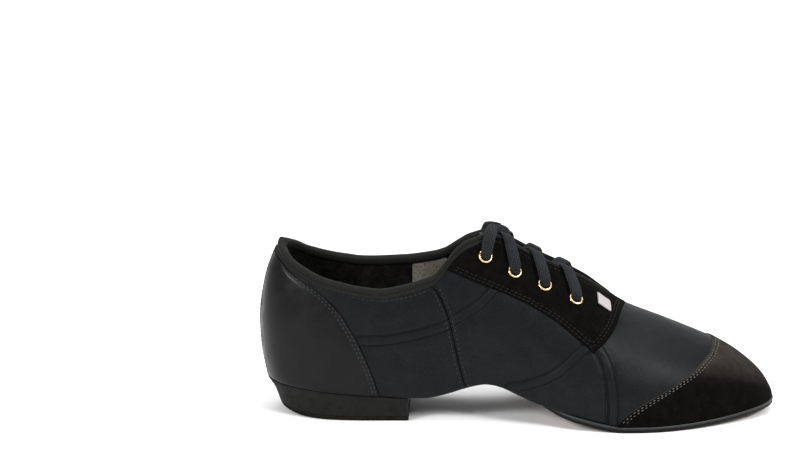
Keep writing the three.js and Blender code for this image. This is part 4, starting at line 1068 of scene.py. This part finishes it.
for side_name, side in (("lateral", -1), ("medial", 1)):
    flip = (lambda points: points) if side < 0 else mirrored
    threads = {"heel": Thread(), "waist": Thread(), "midfoot": Thread()}

    def seam(rows):
        points = [place(row) for row in reversed(rows)]
        points[0] = (points[0][0], 0.0)
        points[-1] = collar_at(side, points[-1][0], BINDING_WIDTH)
        return points

    def collar(start, end):
        return collar_line(side, start, end, BINDING_WIDTH)

    counter_edge, waist_seam = seam(COUNTER_EDGE), seam(WAIST_SEAM)
    back_top = collar_at(side, back_turn, BINDING_WIDTH)
    grid = filled(over, line(flip([(back_turn, 0), (back_turn, back_top[1] / 2), back_top])),
                  line(flip(counter_edge)),
                  line(flip(ground(back_turn, counter_edge[0][0]))),
                  line(flip([back_top, *collar(COUNTER_TOP / 3, COUNTER_TOP)])), 1.1,
                  (0.05, 0.0, UNDER, -0.3))
    counter = Panel(f"counter_{side_name}_leather", over, grid, PROUD, OVERLAY_DEPTH, LEATHER_FINISH,
                    (0.4, FREE_EDGE, 1.4, 0), soft(0.12, 22, 5 + side), sewn=((1, 1.5), (1, 3.3)))
    fit(counter.object, "heel", "counter_leather", f"heel_counter_{side_name}")
    for distance in (1.5, 3.3):
        threads["heel"].row(cut_path(counter.inset(1, distance), 2.5, 3), radius=COUNTER_THREAD,
                            seed=int(distance * 10))

    grid = filled(over, line(flip(counter_edge)), line(flip(waist_seam)),
                  line(flip(ground(counter_edge[0][0], waist_seam[0][0]))),
                  line(flip(collar(COUNTER_TOP, WAIST_SEAM[0][0]))), 1.0, (TUCK, 0.0, UNDER, -0.3))
    quarter = Panel(f"quarter_{side_name}_fabric", over, grid, 0, FABRIC, FABRIC_FINISH, (0, FOLD, 1.2, 0),
                    welt_relief(welts[side, "quarter"], seed=20 + side), sewn=((1, 1.9), (3, 1.4)),
                    seams=(1,),
                    welts=[welts[side, "quarter"]])
    fit(quarter.object, "waist", "stretch_fabric", f"rear_quarter_{side_name}")
    threads["waist"].row(cut_path(quarter.inset(1, 1.9), 1, 1), seed=3)
    threads["waist"].row(cut_path(quarter.inset(3, 1.4), 4, 2), seed=4)

    facing_lower = [place(row) for row in FACING_LOWER]
    facing_lower[0] = collar_at(side, facing_lower[0][0], BINDING_WIDTH)
    ball_seam = [place(row) for row in reversed(BALL_SEAM)]
    grid = filled(over, line(flip(waist_seam)), line(flip(ball_seam)),
                  line(flip(ground(waist_seam[0][0], ball_seam[0][0]))),
                  joined(flip(collar(WAIST_SEAM[0][0], FACING_CORNER)), flip(facing_lower)), 1.0,
                  (0.0, 0.0, UNDER, TUCK))
    paths = [welts[side, name] for name in ("quarter", "arch", "ball")]
    vamp = Panel(f"vamp_{side_name}_fabric", over, grid, 0, FABRIC, FABRIC_FINISH, (FOLD, FOLD, 1.2, 0),
                 welt_relief(*paths, seed=30 + side), sewn=((0, 1.9), (1, 1.7)), seams=(0, 1), welts=paths)
    fit(vamp.object, "waist", "stretch_fabric", f"vamp_side_{side_name}")
    threads["waist"].row(cut_path(vamp.inset(0, 1.9), 1, 1), seed=5)
    threads["midfoot"].row(cut_path(vamp.inset(1, 1.7), 2, 2), seed=6)

    facing_rear = collar(FACING_CORNER, COLLAR_END)
    throat_end, facing_tip = (float(turn_of(THROAT_END)), 90.0), (float(turn_of(FACING_CREST)), 90.0)
    throat = [facing_rear[-1]] + [(float(turn_of(x)), rise) for x, rise in THROAT_EDGE] + [throat_end]
    grid = filled(over, line(flip(facing_rear)), line(flip([*map(place, FACING_FRONT), facing_tip])),
                  line(flip(facing_lower)), joined(flip(throat), flip([throat_end, facing_tip])), 0.9,
                  (-0.3, 0.0, 0.0, 0.15))
    holes = [on_axis(side, k, 0) for k in range(len(EYELETS))]

    def facing_relief(skin, distances, holes=holes):
        d = np.min([np.linalg.norm(skin - hole, axis=-1) for hole in holes], 0)
        dent = np.clip((6.2 - d) / 2.6, 0, 1)
        return 0.14 * smooth_noise(skin, 14, 40) - 0.3 * dent * dent * (3 - 2 * dent)

    facing = Panel(f"facing_{side_name}_suede", over, grid, PROUD, FACING_DEPTH, SUEDE_FINISH,
                   (0, FREE_EDGE, FREE_EDGE, 0.6), facing_relief,
                   sewn=((2, 1.6), (2, 3.4), (1, 3.0), (3, 3.4)))
    fit(facing.object, "midfoot", "overlay_suede", f"facing_{side_name}")
    for border, distance, cut in ((2, 1.6, (3, 2)), (2, 3.4, (3, 4)), (1, 3.0, (3, 4)), (1, 4.8, (4, 5)),
                                  (3, 3.4, (4, 6))):
        threads["midfoot"].row(cut_path(facing.inset(border, distance), *cut),
                               seed=int(distance * 10) + border)
    for motion, stitches in threads.items():
        thread_finish = BLACK_THREAD_FINISH if motion == "midfoot" else THREAD_FINISH
        made = stitches.make(f"stitches_{motion}_{side_name}", thread_finish)
        fit(made, motion, "stretch_fabric")

    lining_turn = float(turn_of(LINING_FRONT))
    corner, *lower_edge = [lowered(side, point, 1) for point in facing_lower]
    lining_top = collar_line(side, LINING_FRONT, FACING_CORNER, 1)
    grid = filled(over, line(flip([(lining_turn, 0), lining_top[0]])),
                  line(flip([*ball_seam[:-1], lower_edge[-1]])),
                  line(flip(ground(lining_turn, ball_seam[0][0]))),
                  joined(flip([*lining_top[:-1], corner]), flip([corner, *lower_edge])), 2.0,
                  (0.2, 0.15, 2.0, 0.15))
    lining = Panel(f"quarter_lining_{side_name}_mesh", over, grid, -LINING_FACE, LINING_BACK, MESH_FINISH,
                   relief=soft(0.1, 18, 50 + side))
    fit(lining.object, "waist", "mesh_lining", f"quarter_lining_{side_name}")

# The collar's tape is folded over the edge. Its profile runs from the outer foot over the fold to the inside.
TAPE_PROFILE = [
    (4.95, 0.0), (4.85, 0.42), (4.4, 0.62), (3.5, 0.66), (2.95, 0.58), (2.65, 0.34), (2.35, 0.6), (1.7, 0.92),
    (0.9, 1.0), (0.1, 0.86), (-0.5, 0.4), (-0.95, -0.5), (-1.1, -1.7), (-0.9, -2.9), (-0.35, -3.8),
    (0.5, -4.2),
    (2.4, -4.3), (3.7, -4.15), (3.9, -3.7), (3.4, -2.6), (3.6, -1.2)]


def collar_ring(distances, count, end=COLLAR_END):
    outer = [(-t, r) for t, r in reversed(collar_line(-1, 0, end, 0))]
    crown = line(outer + collar_line(1, 0, end, 0)[1:])
    columns = []
    for share in np.linspace(0, 1, count + 1):
        turn = float(crown(share)[0])
        side = -1 if turn < 0 else 1
        columns.append([(turn, collar_at(side, abs(turn), distance)[1]) for distance in distances])
    return np.array(columns)


def swept_profile(name, rings, material, lengths):
    """A closed tube through rings of points, with caps at both ends."""
    m, n = rings.shape[:2]
    faces = []
    for i in range(m - 1):
        for k in range(n):
            a, b = i * n + k, i * n + (k + 1) % n
            faces.append((a, b, b + n, a + n))
    faces.append(tuple(reversed(range(n))))
    faces.append(tuple((m - 1) * n + k for k in range(n)))
    around_profile = np.concatenate([[0], np.cumsum(np.linalg.norm(np.diff(rings[0], axis=0), axis=1))])
    uv = np.stack(np.broadcast_arrays(lengths[:, None], around_profile[None]), -1) / 1000
    return new_object(name, rings.reshape(-1, 3), faces, material, uv.reshape(-1, 2), sharp=70)


def run_length(path):
    return np.concatenate([[0], np.cumsum(np.linalg.norm(np.diff(path, axis=0), axis=1))])


columns = collar_ring([d for d, _ in TAPE_PROFILE], 300)
heights = np.array([h for _, h in TAPE_PROFILE])
rings = off(around, columns[..., 0], columns[..., 1], np.broadcast_to(heights, columns.shape[:2]))
rings = rings + smooth_noise(rings, 12, 60)[..., None] * 0.06
tape = swept_profile("collar_tape", rings, BINDING_FINISH, run_length(rings[:, 8]))
fit(tape, "waist", "binding_tape", "collar_binding")

# The same tape, narrower, edges both sides of the throat.
for side_name, side in (("lateral", -1), ("medial", 1)):
    flip = (lambda points: points) if side < 0 else mirrored
    edge_points = [collar_at(side, float(turn_of(COLLAR_END)), 1.5)]
    edge_points += [(float(turn_of(x)), rise) for x, rise in THROAT_EDGE] + [(float(turn_of(193.5)), 88.0)]
    edge = line(flip(edge_points))(np.linspace(0, 1, 110))
    skin, normal = over(edge[:, 0], edge[:, 1]), outward(over, edge[:, 0], edge[:, 1])
    inward = unit(np.cross(np.gradient(skin, axis=0), normal)) * side
    profile = [(-2.4, 0.85), (-2.2, 1.3), (-1.3, 1.5), (-0.3, 1.4), (0.35, 0.8), (0.6, -0.5), (0.4, -1.9),
               (-0.3, -2.6), (-1.4, -2.75), (-2.2, -2.6), (-1.0, -1.0)]
    rings = np.stack([skin - inward * a + normal * h for a, h in profile], 1)
    rim = swept_profile(f"throat_tape_{side_name}", rings, BINDING_FINISH, run_length(skin))
    fit(rim, "midfoot", "binding_tape")

# Back strip, stitched down both of its edges.
stay_turns = np.linspace(-1, 1, 21) * (back_turn - 0.0008)
stay = []
for turn in stay_turns:
    top = collar_at(-1 if turn < 0 else 1, abs(turn), BINDING_WIDTH - 0.3)[1]
    stay.append([(turn, UNDER + (top - UNDER) * j / 60) for j in range(61)])
stay_panel = Panel("back_stay_leather", around, np.array(stay), PROUD + 0.25, OVERLAY_DEPTH, STAY_FINISH,
                   (0.8, 0.8, 1.2, 0), soft(0.05, 12, 61))
fit(stay_panel.object, "heel", "stay_leather", "back_stay")
stay_thread = Thread()
stay_thread.row(cut_path(stay_panel.inset(0, 1.5), 2, 1), seed=62)
stay_thread.row(cut_path(stay_panel.inset(1, 1.5), 2, 1), seed=63)
fit(stay_thread.make("stitches_stay", THREAD_FINISH), "heel", "stay_leather")

# Heel lining: a suede cup that ends in an upright cut edge inside the shoe.
lining_turn = float(turn_of(LINING_FRONT)) - 0.001
cup = []
for turn in np.linspace(-1, 1, 121) * lining_turn:
    top = collar_at(-1 if turn < 0 else 1, abs(turn), 1)[1]
    cup.append([(turn, 1.0 + (top - 1.0) * j / 30) for j in range(31)])
heel_lining = Panel("heel_lining_suede", around, np.array(cup), -LINING_FACE, LINING_BACK + 0.25,
                    HEEL_LINING_FINISH,
                    relief=soft(0.16, 14, 64))
fit(heel_lining.object, "waist", "heel_suede_lining", "heel_lining")


def over_crest(rows, crest):
    half = [place(row) for row in rows]
    return half + [(float(turn_of(crest)), 90.0)] + mirrored(half[::-1])


# Front of the vamp.
cap_seam = over_crest(CAP_SEAM, CAP_CREST)
ball_line = [place(row) for row in BALL_SEAM]
front_half = [place(row) for row in FACING_FRONT] + [(float(turn_of(FACING_CREST)), 90.0)]
vamp_rear = joined(ball_line[::-1], front_half, mirrored(front_half[::-1]), mirrored(ball_line))


def foot_line(rise):
    return line([(ball_line[-1][0], rise), (cap_seam[0][0], rise)])


grid = filled(over, vamp_rear, line(cap_seam), foot_line(0.0), foot_line(180.0), 1.0,
              (TUCK, TUCK, UNDER, UNDER))
ball_welts = [welts[side, "ball"] for side in (-1, 1)]
vamp_front = Panel("vamp_front_fabric", over, grid, 0, FABRIC, FABRIC_FINISH, (0, 0, 0, 0),
                   welt_relief(*ball_welts, seed=70), welts=ball_welts)
fit(vamp_front.object, "ball", "stretch_fabric", "vamp_front")


def toe_grid(rear, columns, rows, trim=0.0, borders=(0.0, 0.25, 0.6, 1.1, 1.8)):
    """From a line over the forefoot to the toe's tip."""
    shares = np.concatenate([np.array(borders[:-1]) / 60, np.linspace(borders[-1] / 60, 1, columns)])
    edge = rear(np.linspace(0, 1, rows + 1))
    turn, rise = edge[:, 0] + trim, edge[:, 1]
    level = 180 * np.linspace(0, 1, rows + 1)
    return np.stack([turn + (1 - turn) * shares[:, None], rise + (level - rise) * shares[:, None]], -1)


def toe_relief(skin, distances):
    roll = np.exp(-((distances[0] - 2.2) / 1.3) ** 2) * 0.25
    return 0.16 * smooth_noise(skin, 18, 71) + roll - 0.25


toe = Panel("toe_cap_suede", over, toe_grid(line(cap_seam), 56, 150), PROUD, OVERLAY_DEPTH, TOE_SUEDE_FINISH,
            (FREE_EDGE, 0, 0, 0), toe_relief, sewn=((0, 2.0), (0, 4.1)))
fit(toe.object, "ball", "overlay_suede", "toe_cap")
cap_thread = Thread()
for distance in (2.0, 4.1):
    cap_thread.row(cut_path(toe.inset(0, distance), 3, 3), pitch=2.5, length=1.55, radius=0.26,
                   seed=int(distance * 10))
fit(cap_thread.make("stitches_cap", PALE_THREAD_FINISH), "ball", "overlay_suede")

puff = Panel("toe_puff_board", over, toe_grid(line(over_crest([[222, 0], [236, 15], [247, 24]], 256)), 14,
                                              40, 0.002),
             -1.45, 2.25, SOLE_BOARD_FINISH, relief=soft(0.03, 9, 72))
fit(puff.object, "ball", "sole_board", "toe_puff")
toe_lining = Panel("toe_lining_mesh", over, toe_grid(line(over_crest([[197, 2], [198, 25], [199.5, 42]],
                                                                     206)), 30, 60),
                   -LINING_FACE, LINING_BACK, MESH_FINISH, relief=soft(0.08, 15, 73))
fit(toe_lining.object, "ball", "mesh_lining", "toe_lining")

# Tongue, padded, with a soft rounded edge.
TONGUE_DEPTH = [[176, TONGUE_FACE], [192, TONGUE_FACE - 1], [203, LINING_BACK + LAYER_GAP]]
TONGUE_SPREAD = [[121, 34], [150, 33], [185, 24], [203, 18]]
tongue_stations, tongue_shares = np.linspace(125, 203, 80), np.linspace(-1, 1, 41)
tongue_grid = np.array([[(float(turn_of(x)), 90 + float(along(TONGUE_SPREAD, x)) * s) for s in tongue_shares]
                        for x in tongue_stations])
tongue_depth = along(TONGUE_DEPTH, tongue_stations)[:, None] * np.ones((1, 41))
edge_in = np.minimum(np.minimum(tongue_stations - 125, 203 - tongue_stations)[:, None],
                     (1 - np.abs(tongue_shares))[None] * 24)
rounding = 1.1 - np.sqrt(np.maximum(1.21 - (1.1 - np.clip(edge_in, 0, 1.1)) ** 2, 0))
top = off(over, tongue_grid[..., 0], tongue_grid[..., 1], -tongue_depth - rounding)
low = off(over, tongue_grid[..., 0], tongue_grid[..., 1], -tongue_depth - TONGUE_THICKNESS + rounding)
uv = np.stack(np.broadcast_arrays(tongue_stations[:, None], tongue_shares[None] * 24), -1).reshape(-1,
                                                                                                   2) / 1000
tongue = new_object("tongue_fabric", np.vstack([top.reshape(-1, 3), low.reshape(-1, 3)]),
                    closed_faces(80, 41),
                    FABRIC_FINISH, np.vstack([uv, uv]))
fit(tongue, "midfoot", "stretch_fabric", "tongue")

# Blank woven tag, its two ends caught under the throat's edge.
tag_grid = np.array([[(float(turn_of(184.6 + 6.8 * i / 12)), 63 + 9 * j / 14) for j in range(15)]
                     for i in range(13)])


def tag_relief(skin, distances):
    return 0.35 * np.sin(np.clip(distances[2] / np.max(distances[2]), 0, 1) * np.pi) ** 0.7


tag = Panel("throat_tag_woven", over, tag_grid, PROUD + 1.3, -PROUD - 0.5, TAG_FINISH, (0.25, 0.25, 0.3, 0.2),
            tag_relief)
fit(tag.object, "midfoot", "woven_tag", "throat_tag")

# ---- Eyelets -----------------------------------------------------------------------------------------------
EYELET_PROFILE = [
    (2.6, -3.0), (3.0, -3.5), (3.9, -3.4), (4.0, -3.05), (3.2, -2.9), (3.05, -1.0), (3.05, 0.7), (3.5, 0.76),
    (3.74, 0.9), (3.82, 1.15), (3.7, 1.45), (3.4, 1.64), (3.05, 1.62), (2.76, 1.4), (2.64, 1.0), (2.6, -1.0)]
EYELET_SEGMENTS = 48
for side_name, side in (("lateral", -1), ("medial", 1)):
    for k in range(len(EYELETS)):
        centre, axis = eyelet_frame(side, k)
        u = unit(np.cross(axis, [0, 0, 1.0]))
        v = np.cross(axis, u)
        turns = 2 * np.pi * np.arange(EYELET_SEGMENTS) / EYELET_SEGMENTS
        spokes = [u * math.cos(a) + v * math.sin(a) for a in turns]
        vertices = [centre + spoke * r + axis * h for spoke in spokes for r, h in EYELET_PROFILE]
        n = len(EYELET_PROFILE)
        faces = []
        for i in range(EYELET_SEGMENTS):
            for j in range(n):
                a, b = i * n + j, i * n + (j + 1) % n
                shift = ((i + 1) % EYELET_SEGMENTS - i) * n
                faces.append((a, b, b + shift, a + shift))
        made = new_object(f"eyelet_{side_name}_{k + 1}_ring", np.array(vertices), faces, BRASS_FINISH,
                          sharp=60)
        fit(made, "midfoot", "eyelet_brass", f"eyelet_{side_name}_{k + 1}")

# ---- Heel and soles ----------------------------------------------------------------------------------------


def outline(turn, inset):
    """Both points of the feather outline at a turn, drawn in by inset. Their height is 0."""
    step = 0.003
    both = []
    for side in (-1, 1):
        a, p, b = (on_wall(side, np.clip(t, 0.0005, 0.9995), 0.0) for t in (turn - step, turn, turn + step))
        along_edge = b - a
        along_edge[2] = 0
        along_edge = unit(along_edge)
        p = np.array([p[0], p[1], 0.0]) + np.array([along_edge[1], -along_edge[0], 0]) * side * inset
        both.append(p)
    return both


def slab(name, start, end, inset, low, high, material, edge=0.4, shape=None, columns=90, across=26,
         crown=0.0):
    """A sheet between two stations with rounded edges. low and high give its faces by station."""
    a, b = float(turn_of(start)), float(turn_of(min(end, LENGTH - 0.15)))
    turns = a + (b - a) * np.linspace(0, 1, columns)
    near = np.array([0, 0.12, 0.3, 0.6, 1.0]) * edge / 60
    shares = np.concatenate([near, np.linspace(0.03, 0.97, across), 1 - near[::-1]])
    top, under, uv = [], [], []
    for turn in turns:
        l, r = outline(turn, inset)
        width = float(np.linalg.norm(r - l))
        for s in shares:
            p = l + (r - l) * s
            if shape:
                p = shape(p)
            d = min(min(s, 1 - s) * max(width, 1.0), abs(turn - a) * 450 + 0.001 if start > 3 else 99)
            drop = edge - math.sqrt(max(edge**2 - (edge - min(d, edge)) ** 2, 0))
            dome = crown * (1 - (2 * s - 1) ** 2)
            top.append((p[0], p[1], float(high(p[0])) - drop))
            under.append((p[0], p[1], float(low(p[0])) + drop - dome))
            uv.append((p[0] / 1000, p[1] / 1000))
    m, n = len(turns), len(shares)
    return new_object(name, np.vstack([top, under]), closed_faces(m, n), material, np.vstack([uv, uv]))


def round_end(p):
    near = max(0.0, 1 - (p[0] - OUTSOLE_REAR) / 22)
    middle = float(along(MIDDLE, p[0]))
    return np.array([p[0], middle + (p[1] - middle) * math.sqrt(1 - 0.86 * near * near), 0])


def midsole_foot(x):
    return feather(x) - GAP - MIDSOLE


midsole = slab("forefoot_midsole_edge", OUTSOLE_REAR, 286, -SOLE_FLANGE, midsole_foot,
               lambda x: feather(x) - 0.1,
               MIDSOLE_FINISH, 0.45, round_end, columns=130)
fit(midsole, "ball", "sole_board", "forefoot_midsole")
outsole = slab("forefoot_outsole_suede", OUTSOLE_REAR, 286, -SOLE_FLANGE + 0.15,
               lambda x: midsole_foot(x) - OUTSOLE,
               lambda x: midsole_foot(x), OUTSOLE_FINISH, 0.35, round_end, columns=130)
fit(outsole, "ball", "sole_suede", "forefoot_outsole")
board_piece = slab("forefoot_board_sheet", 153, 284, 4.15, feather, lambda x: feather(x) + 1.4,
                   INSOLE_BOARD_FINISH,
                   0.3, columns=60, across=10)
fit(board_piece, "ball", "insole_board", "forefoot_board")
front_sock = slab("forefoot_sock_sheet", 150.2, 283, 4.6, lambda x: feather(x) + 2.7,
                  lambda x: feather(x) + 4.3,
                  SOCK_FINISH, 0.5, columns=80, across=16)
fit(front_sock, "ball", "sock_lining", "forefoot_sock")
heel_sock = slab("heel_sock_sheet", 1.5, 150, 4.2, lambda x: feather(x) + 2.7, lambda x: feather(x) + 4.3,
                 SOCK_FINISH, 0.5, columns=90, across=16)
fit(heel_sock, "waist", "sock_lining", "heel_sock")
arch = slab("arch_fabric", 83.2, 152.5, 1.1, lambda x: feather(x) - 0.25, lambda x: feather(x) + 2.3,
            FABRIC_FINISH,
            0.8, columns=60, across=26, crown=1.1)
fit(arch, "waist", "stretch_fabric", "arch_panel")


def heel_loop(inset, count=56):
    """The heel's outline from above: round the back from one front corner to the other, then across."""
    turns = float(turn_of(HEEL_LENGTH)) * (1 - np.cos(np.linspace(0, np.pi / 2, count))) ** 1.0
    turns = np.clip(turns, 0.004, None)
    outer = [outline(t, inset)[0] for t in turns[::-1]]
    inner = [outline(t, inset)[1] for t in turns]
    front = [outer[0] + (inner[-1] - outer[0]) * s for s in np.linspace(1, 0, 26)[1:-1]]
    return np.array(outer + inner + front)


BEVEL_STATION, BEVEL_RISE, FLARE = 34.0, 6.0, 2.2


def heel_shell(name, levels, material):
    """levels: rows of share of the taper, height by station, inset, and how far the front is hollowed.

    At the back the heel flares out to meet the upper, and its foot is bevelled.
    """
    loop = heel_loop(0.4)
    middle = np.array([40.0, 0.0])
    rings = []
    for share, height, inset, hollow in levels:
        ring = loop.copy()
        ring[:, 0] = HEEL_LENGTH - (HEEL_LENGTH - ring[:, 0]) * (1 - 0.075 * share)
        ring[:, 1] *= 1 - 0.05 * share
        front = np.clip((ring[:, 0] - 79) / 4, 0, 1)
        ring[:, 0] -= hollow * front**2
        toward = unit(np.pad(middle - ring[:, :2], ((0, 0), (0, 1))))
        ring += toward * inset
        behind = np.clip((BEVEL_STATION - ring[:, 0]) / BEVEL_STATION, 0, 1) ** 2
        ring[:, 2] = [height(x) for x in ring[:, 0]]
        ring[:, 2] += BEVEL_RISE * behind * share**2
        ring[:, 0] -= FLARE * behind * max(0.0, 1 - share / 0.45) ** 2
        rings.append(ring)
    n = len(loop)
    vertices = np.vstack([*rings, rings[0].mean(0)[None], rings[-1].mean(0)[None]])
    faces = []
    for i in range(len(rings) - 1):
        for k in range(n):
            a, b = i * n + k, i * n + (k + 1) % n
            faces.append((a, b, b + n, a + n))
    first, final = len(rings) * n, len(rings) * n + 1
    bottom = (len(rings) - 1) * n
    for k in range(n):
        faces.append(((k + 1) % n, k, first))
        faces.append((bottom + k, bottom + (k + 1) % n, final))
    return new_object(name, vertices, faces, material, sharp=45)


TIP_THICKNESS = 2.5


def between_faces(share):
    return lambda x: (SEAT_BACK + SEAT_SLOPE * x - GAP) * (1 - share) + (TIP_THICKNESS + 0.15) * share


block_levels = [(0, between_faces(0), 1.2, 0), (0, between_faces(0.0), 0.35, 0.1)]
for share in np.linspace(0.05, 0.97, 14):
    waist = 0.35 * math.sin(math.pi * share)
    block_levels.append((share * 0.87, between_faces(share), waist, 1.5 * math.sin(math.pi * share**0.8)))
block_levels.append((0.87, between_faces(1.0), 0.15, 0.0))
block_levels.append((0.87, between_faces(1.0), 1.2, 0.0))
block = heel_shell("heel_block_stack", block_levels, RUBBER_FINISH)
fit(block, "heel", "heel_rubber", "heel_block")
tip_levels = [(0.88, lambda x: TIP_THICKNESS, 0.6, 0), (0.88, lambda x: TIP_THICKNESS - 0.05, 0.12, 0),
              (0.9, lambda x: TIP_THICKNESS - 0.5, 0, 0), (0.97, lambda x: 0.75, 0.05, 0),
              (1.0, lambda x: 0.3, 0.35, 0.2), (1.0, lambda x: 0.06, 0.85, 0.4),
              (1.0, lambda x: 0.0, 1.7, 0.8)]
tip = heel_shell("heel_tip_layer", tip_levels, TIP_FINISH)
fit(tip, "heel", "sole_suede", "heel_tip")

# ---- CAD nodes that stay -----------------------------------------------------------------------------------
kept = {"heel_stiffener": SOLE_BOARD_FINISH, "heel_board": INSOLE_BOARD_FINISH}
kept.update({f"heel_nail_{k}": STEEL_FINISH for k in range(1, 6)})
for node_name, finish in kept.items():
    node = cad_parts[node_name]
    node.data.materials.clear()
    node.data.materials.append(finish)

# ---- Floor and light ---------------------------------------------------------------------------------------
# A pale sweep: flat under the shoe, curving up into the backdrop behind it.
profile = [(-6.0, 0.0), (1.6, 0.0)]
profile += [(1.6 + 1.2 * math.sin(a), 1.2 - 1.2 * math.cos(a)) for a in np.linspace(0.05, math.pi / 2, 24)]
profile.append((2.8, 4.0))
sweep_mesh = bpy.data.meshes.new("sweep")
sweep_points = [(x, y, z) for y, z in profile for x in (-7.0, 7.0)]
sweep_mesh.from_pydata(sweep_points, [], [(2 * k, 2 * k + 1, 2 * k + 3,
                                           2 * k + 2) for k in range(len(profile) - 1)])
sweep_mesh.shade_smooth()
sweep = bpy.data.objects.new("sweep", sweep_mesh)
sweep_finish = Finish("sweep_paper", 0.8, specular=0.1)
sweep_finish.colour(sweep_finish.mix(sweep_finish.ramp(sweep_finish.noise(900, 2), 0.3, 0.7),
                                     (0.87, 0.87, 0.87), (0.9, 0.9, 0.9)))
sweep_mesh.materials.append(sweep_finish.material)
bpy.context.scene.collection.objects.link(sweep)

world = bpy.data.worlds.new("studio")
world.use_nodes = True
world.node_tree.nodes["Background"].inputs["Color"].default_value = (1.0, 1.0, 1.0, 1)
world.node_tree.nodes["Background"].inputs["Strength"].default_value = 0.24
bpy.context.scene.world = world


def softbox(name, place_, target, size, energy):
    data = bpy.data.lights.new(name, "AREA")
    data.shape = "RECTANGLE"
    data.size, data.size_y = size
    data.energy = energy
    light = bpy.data.objects.new(name, data)
    light.location = place_
    light.rotation_euler = (Vector(target) - Vector(place_)).to_track_quat("-Z", "Y").to_euler()
    bpy.context.scene.collection.objects.link(light)


softbox("overhead", (0.1, 0.4, 1.9), (0.0, 0.25, 0.0), (2.6, 2.0), 48)
softbox("left", (-1.1, -0.9, 0.8), (-0.1, 0, 0.05), (0.5, 0.45), 20)
softbox("right", (1.0, -0.8, 1.0), (0.08, 0, 0.04), (0.5, 0.45), 20)
softbox("backdrop", (0.0, 0.9, 1.7), (0.0, 2.8, 0.9), (3.0, 0.8), 22)
bpy.context.scene.view_settings.view_transform = "Standard"
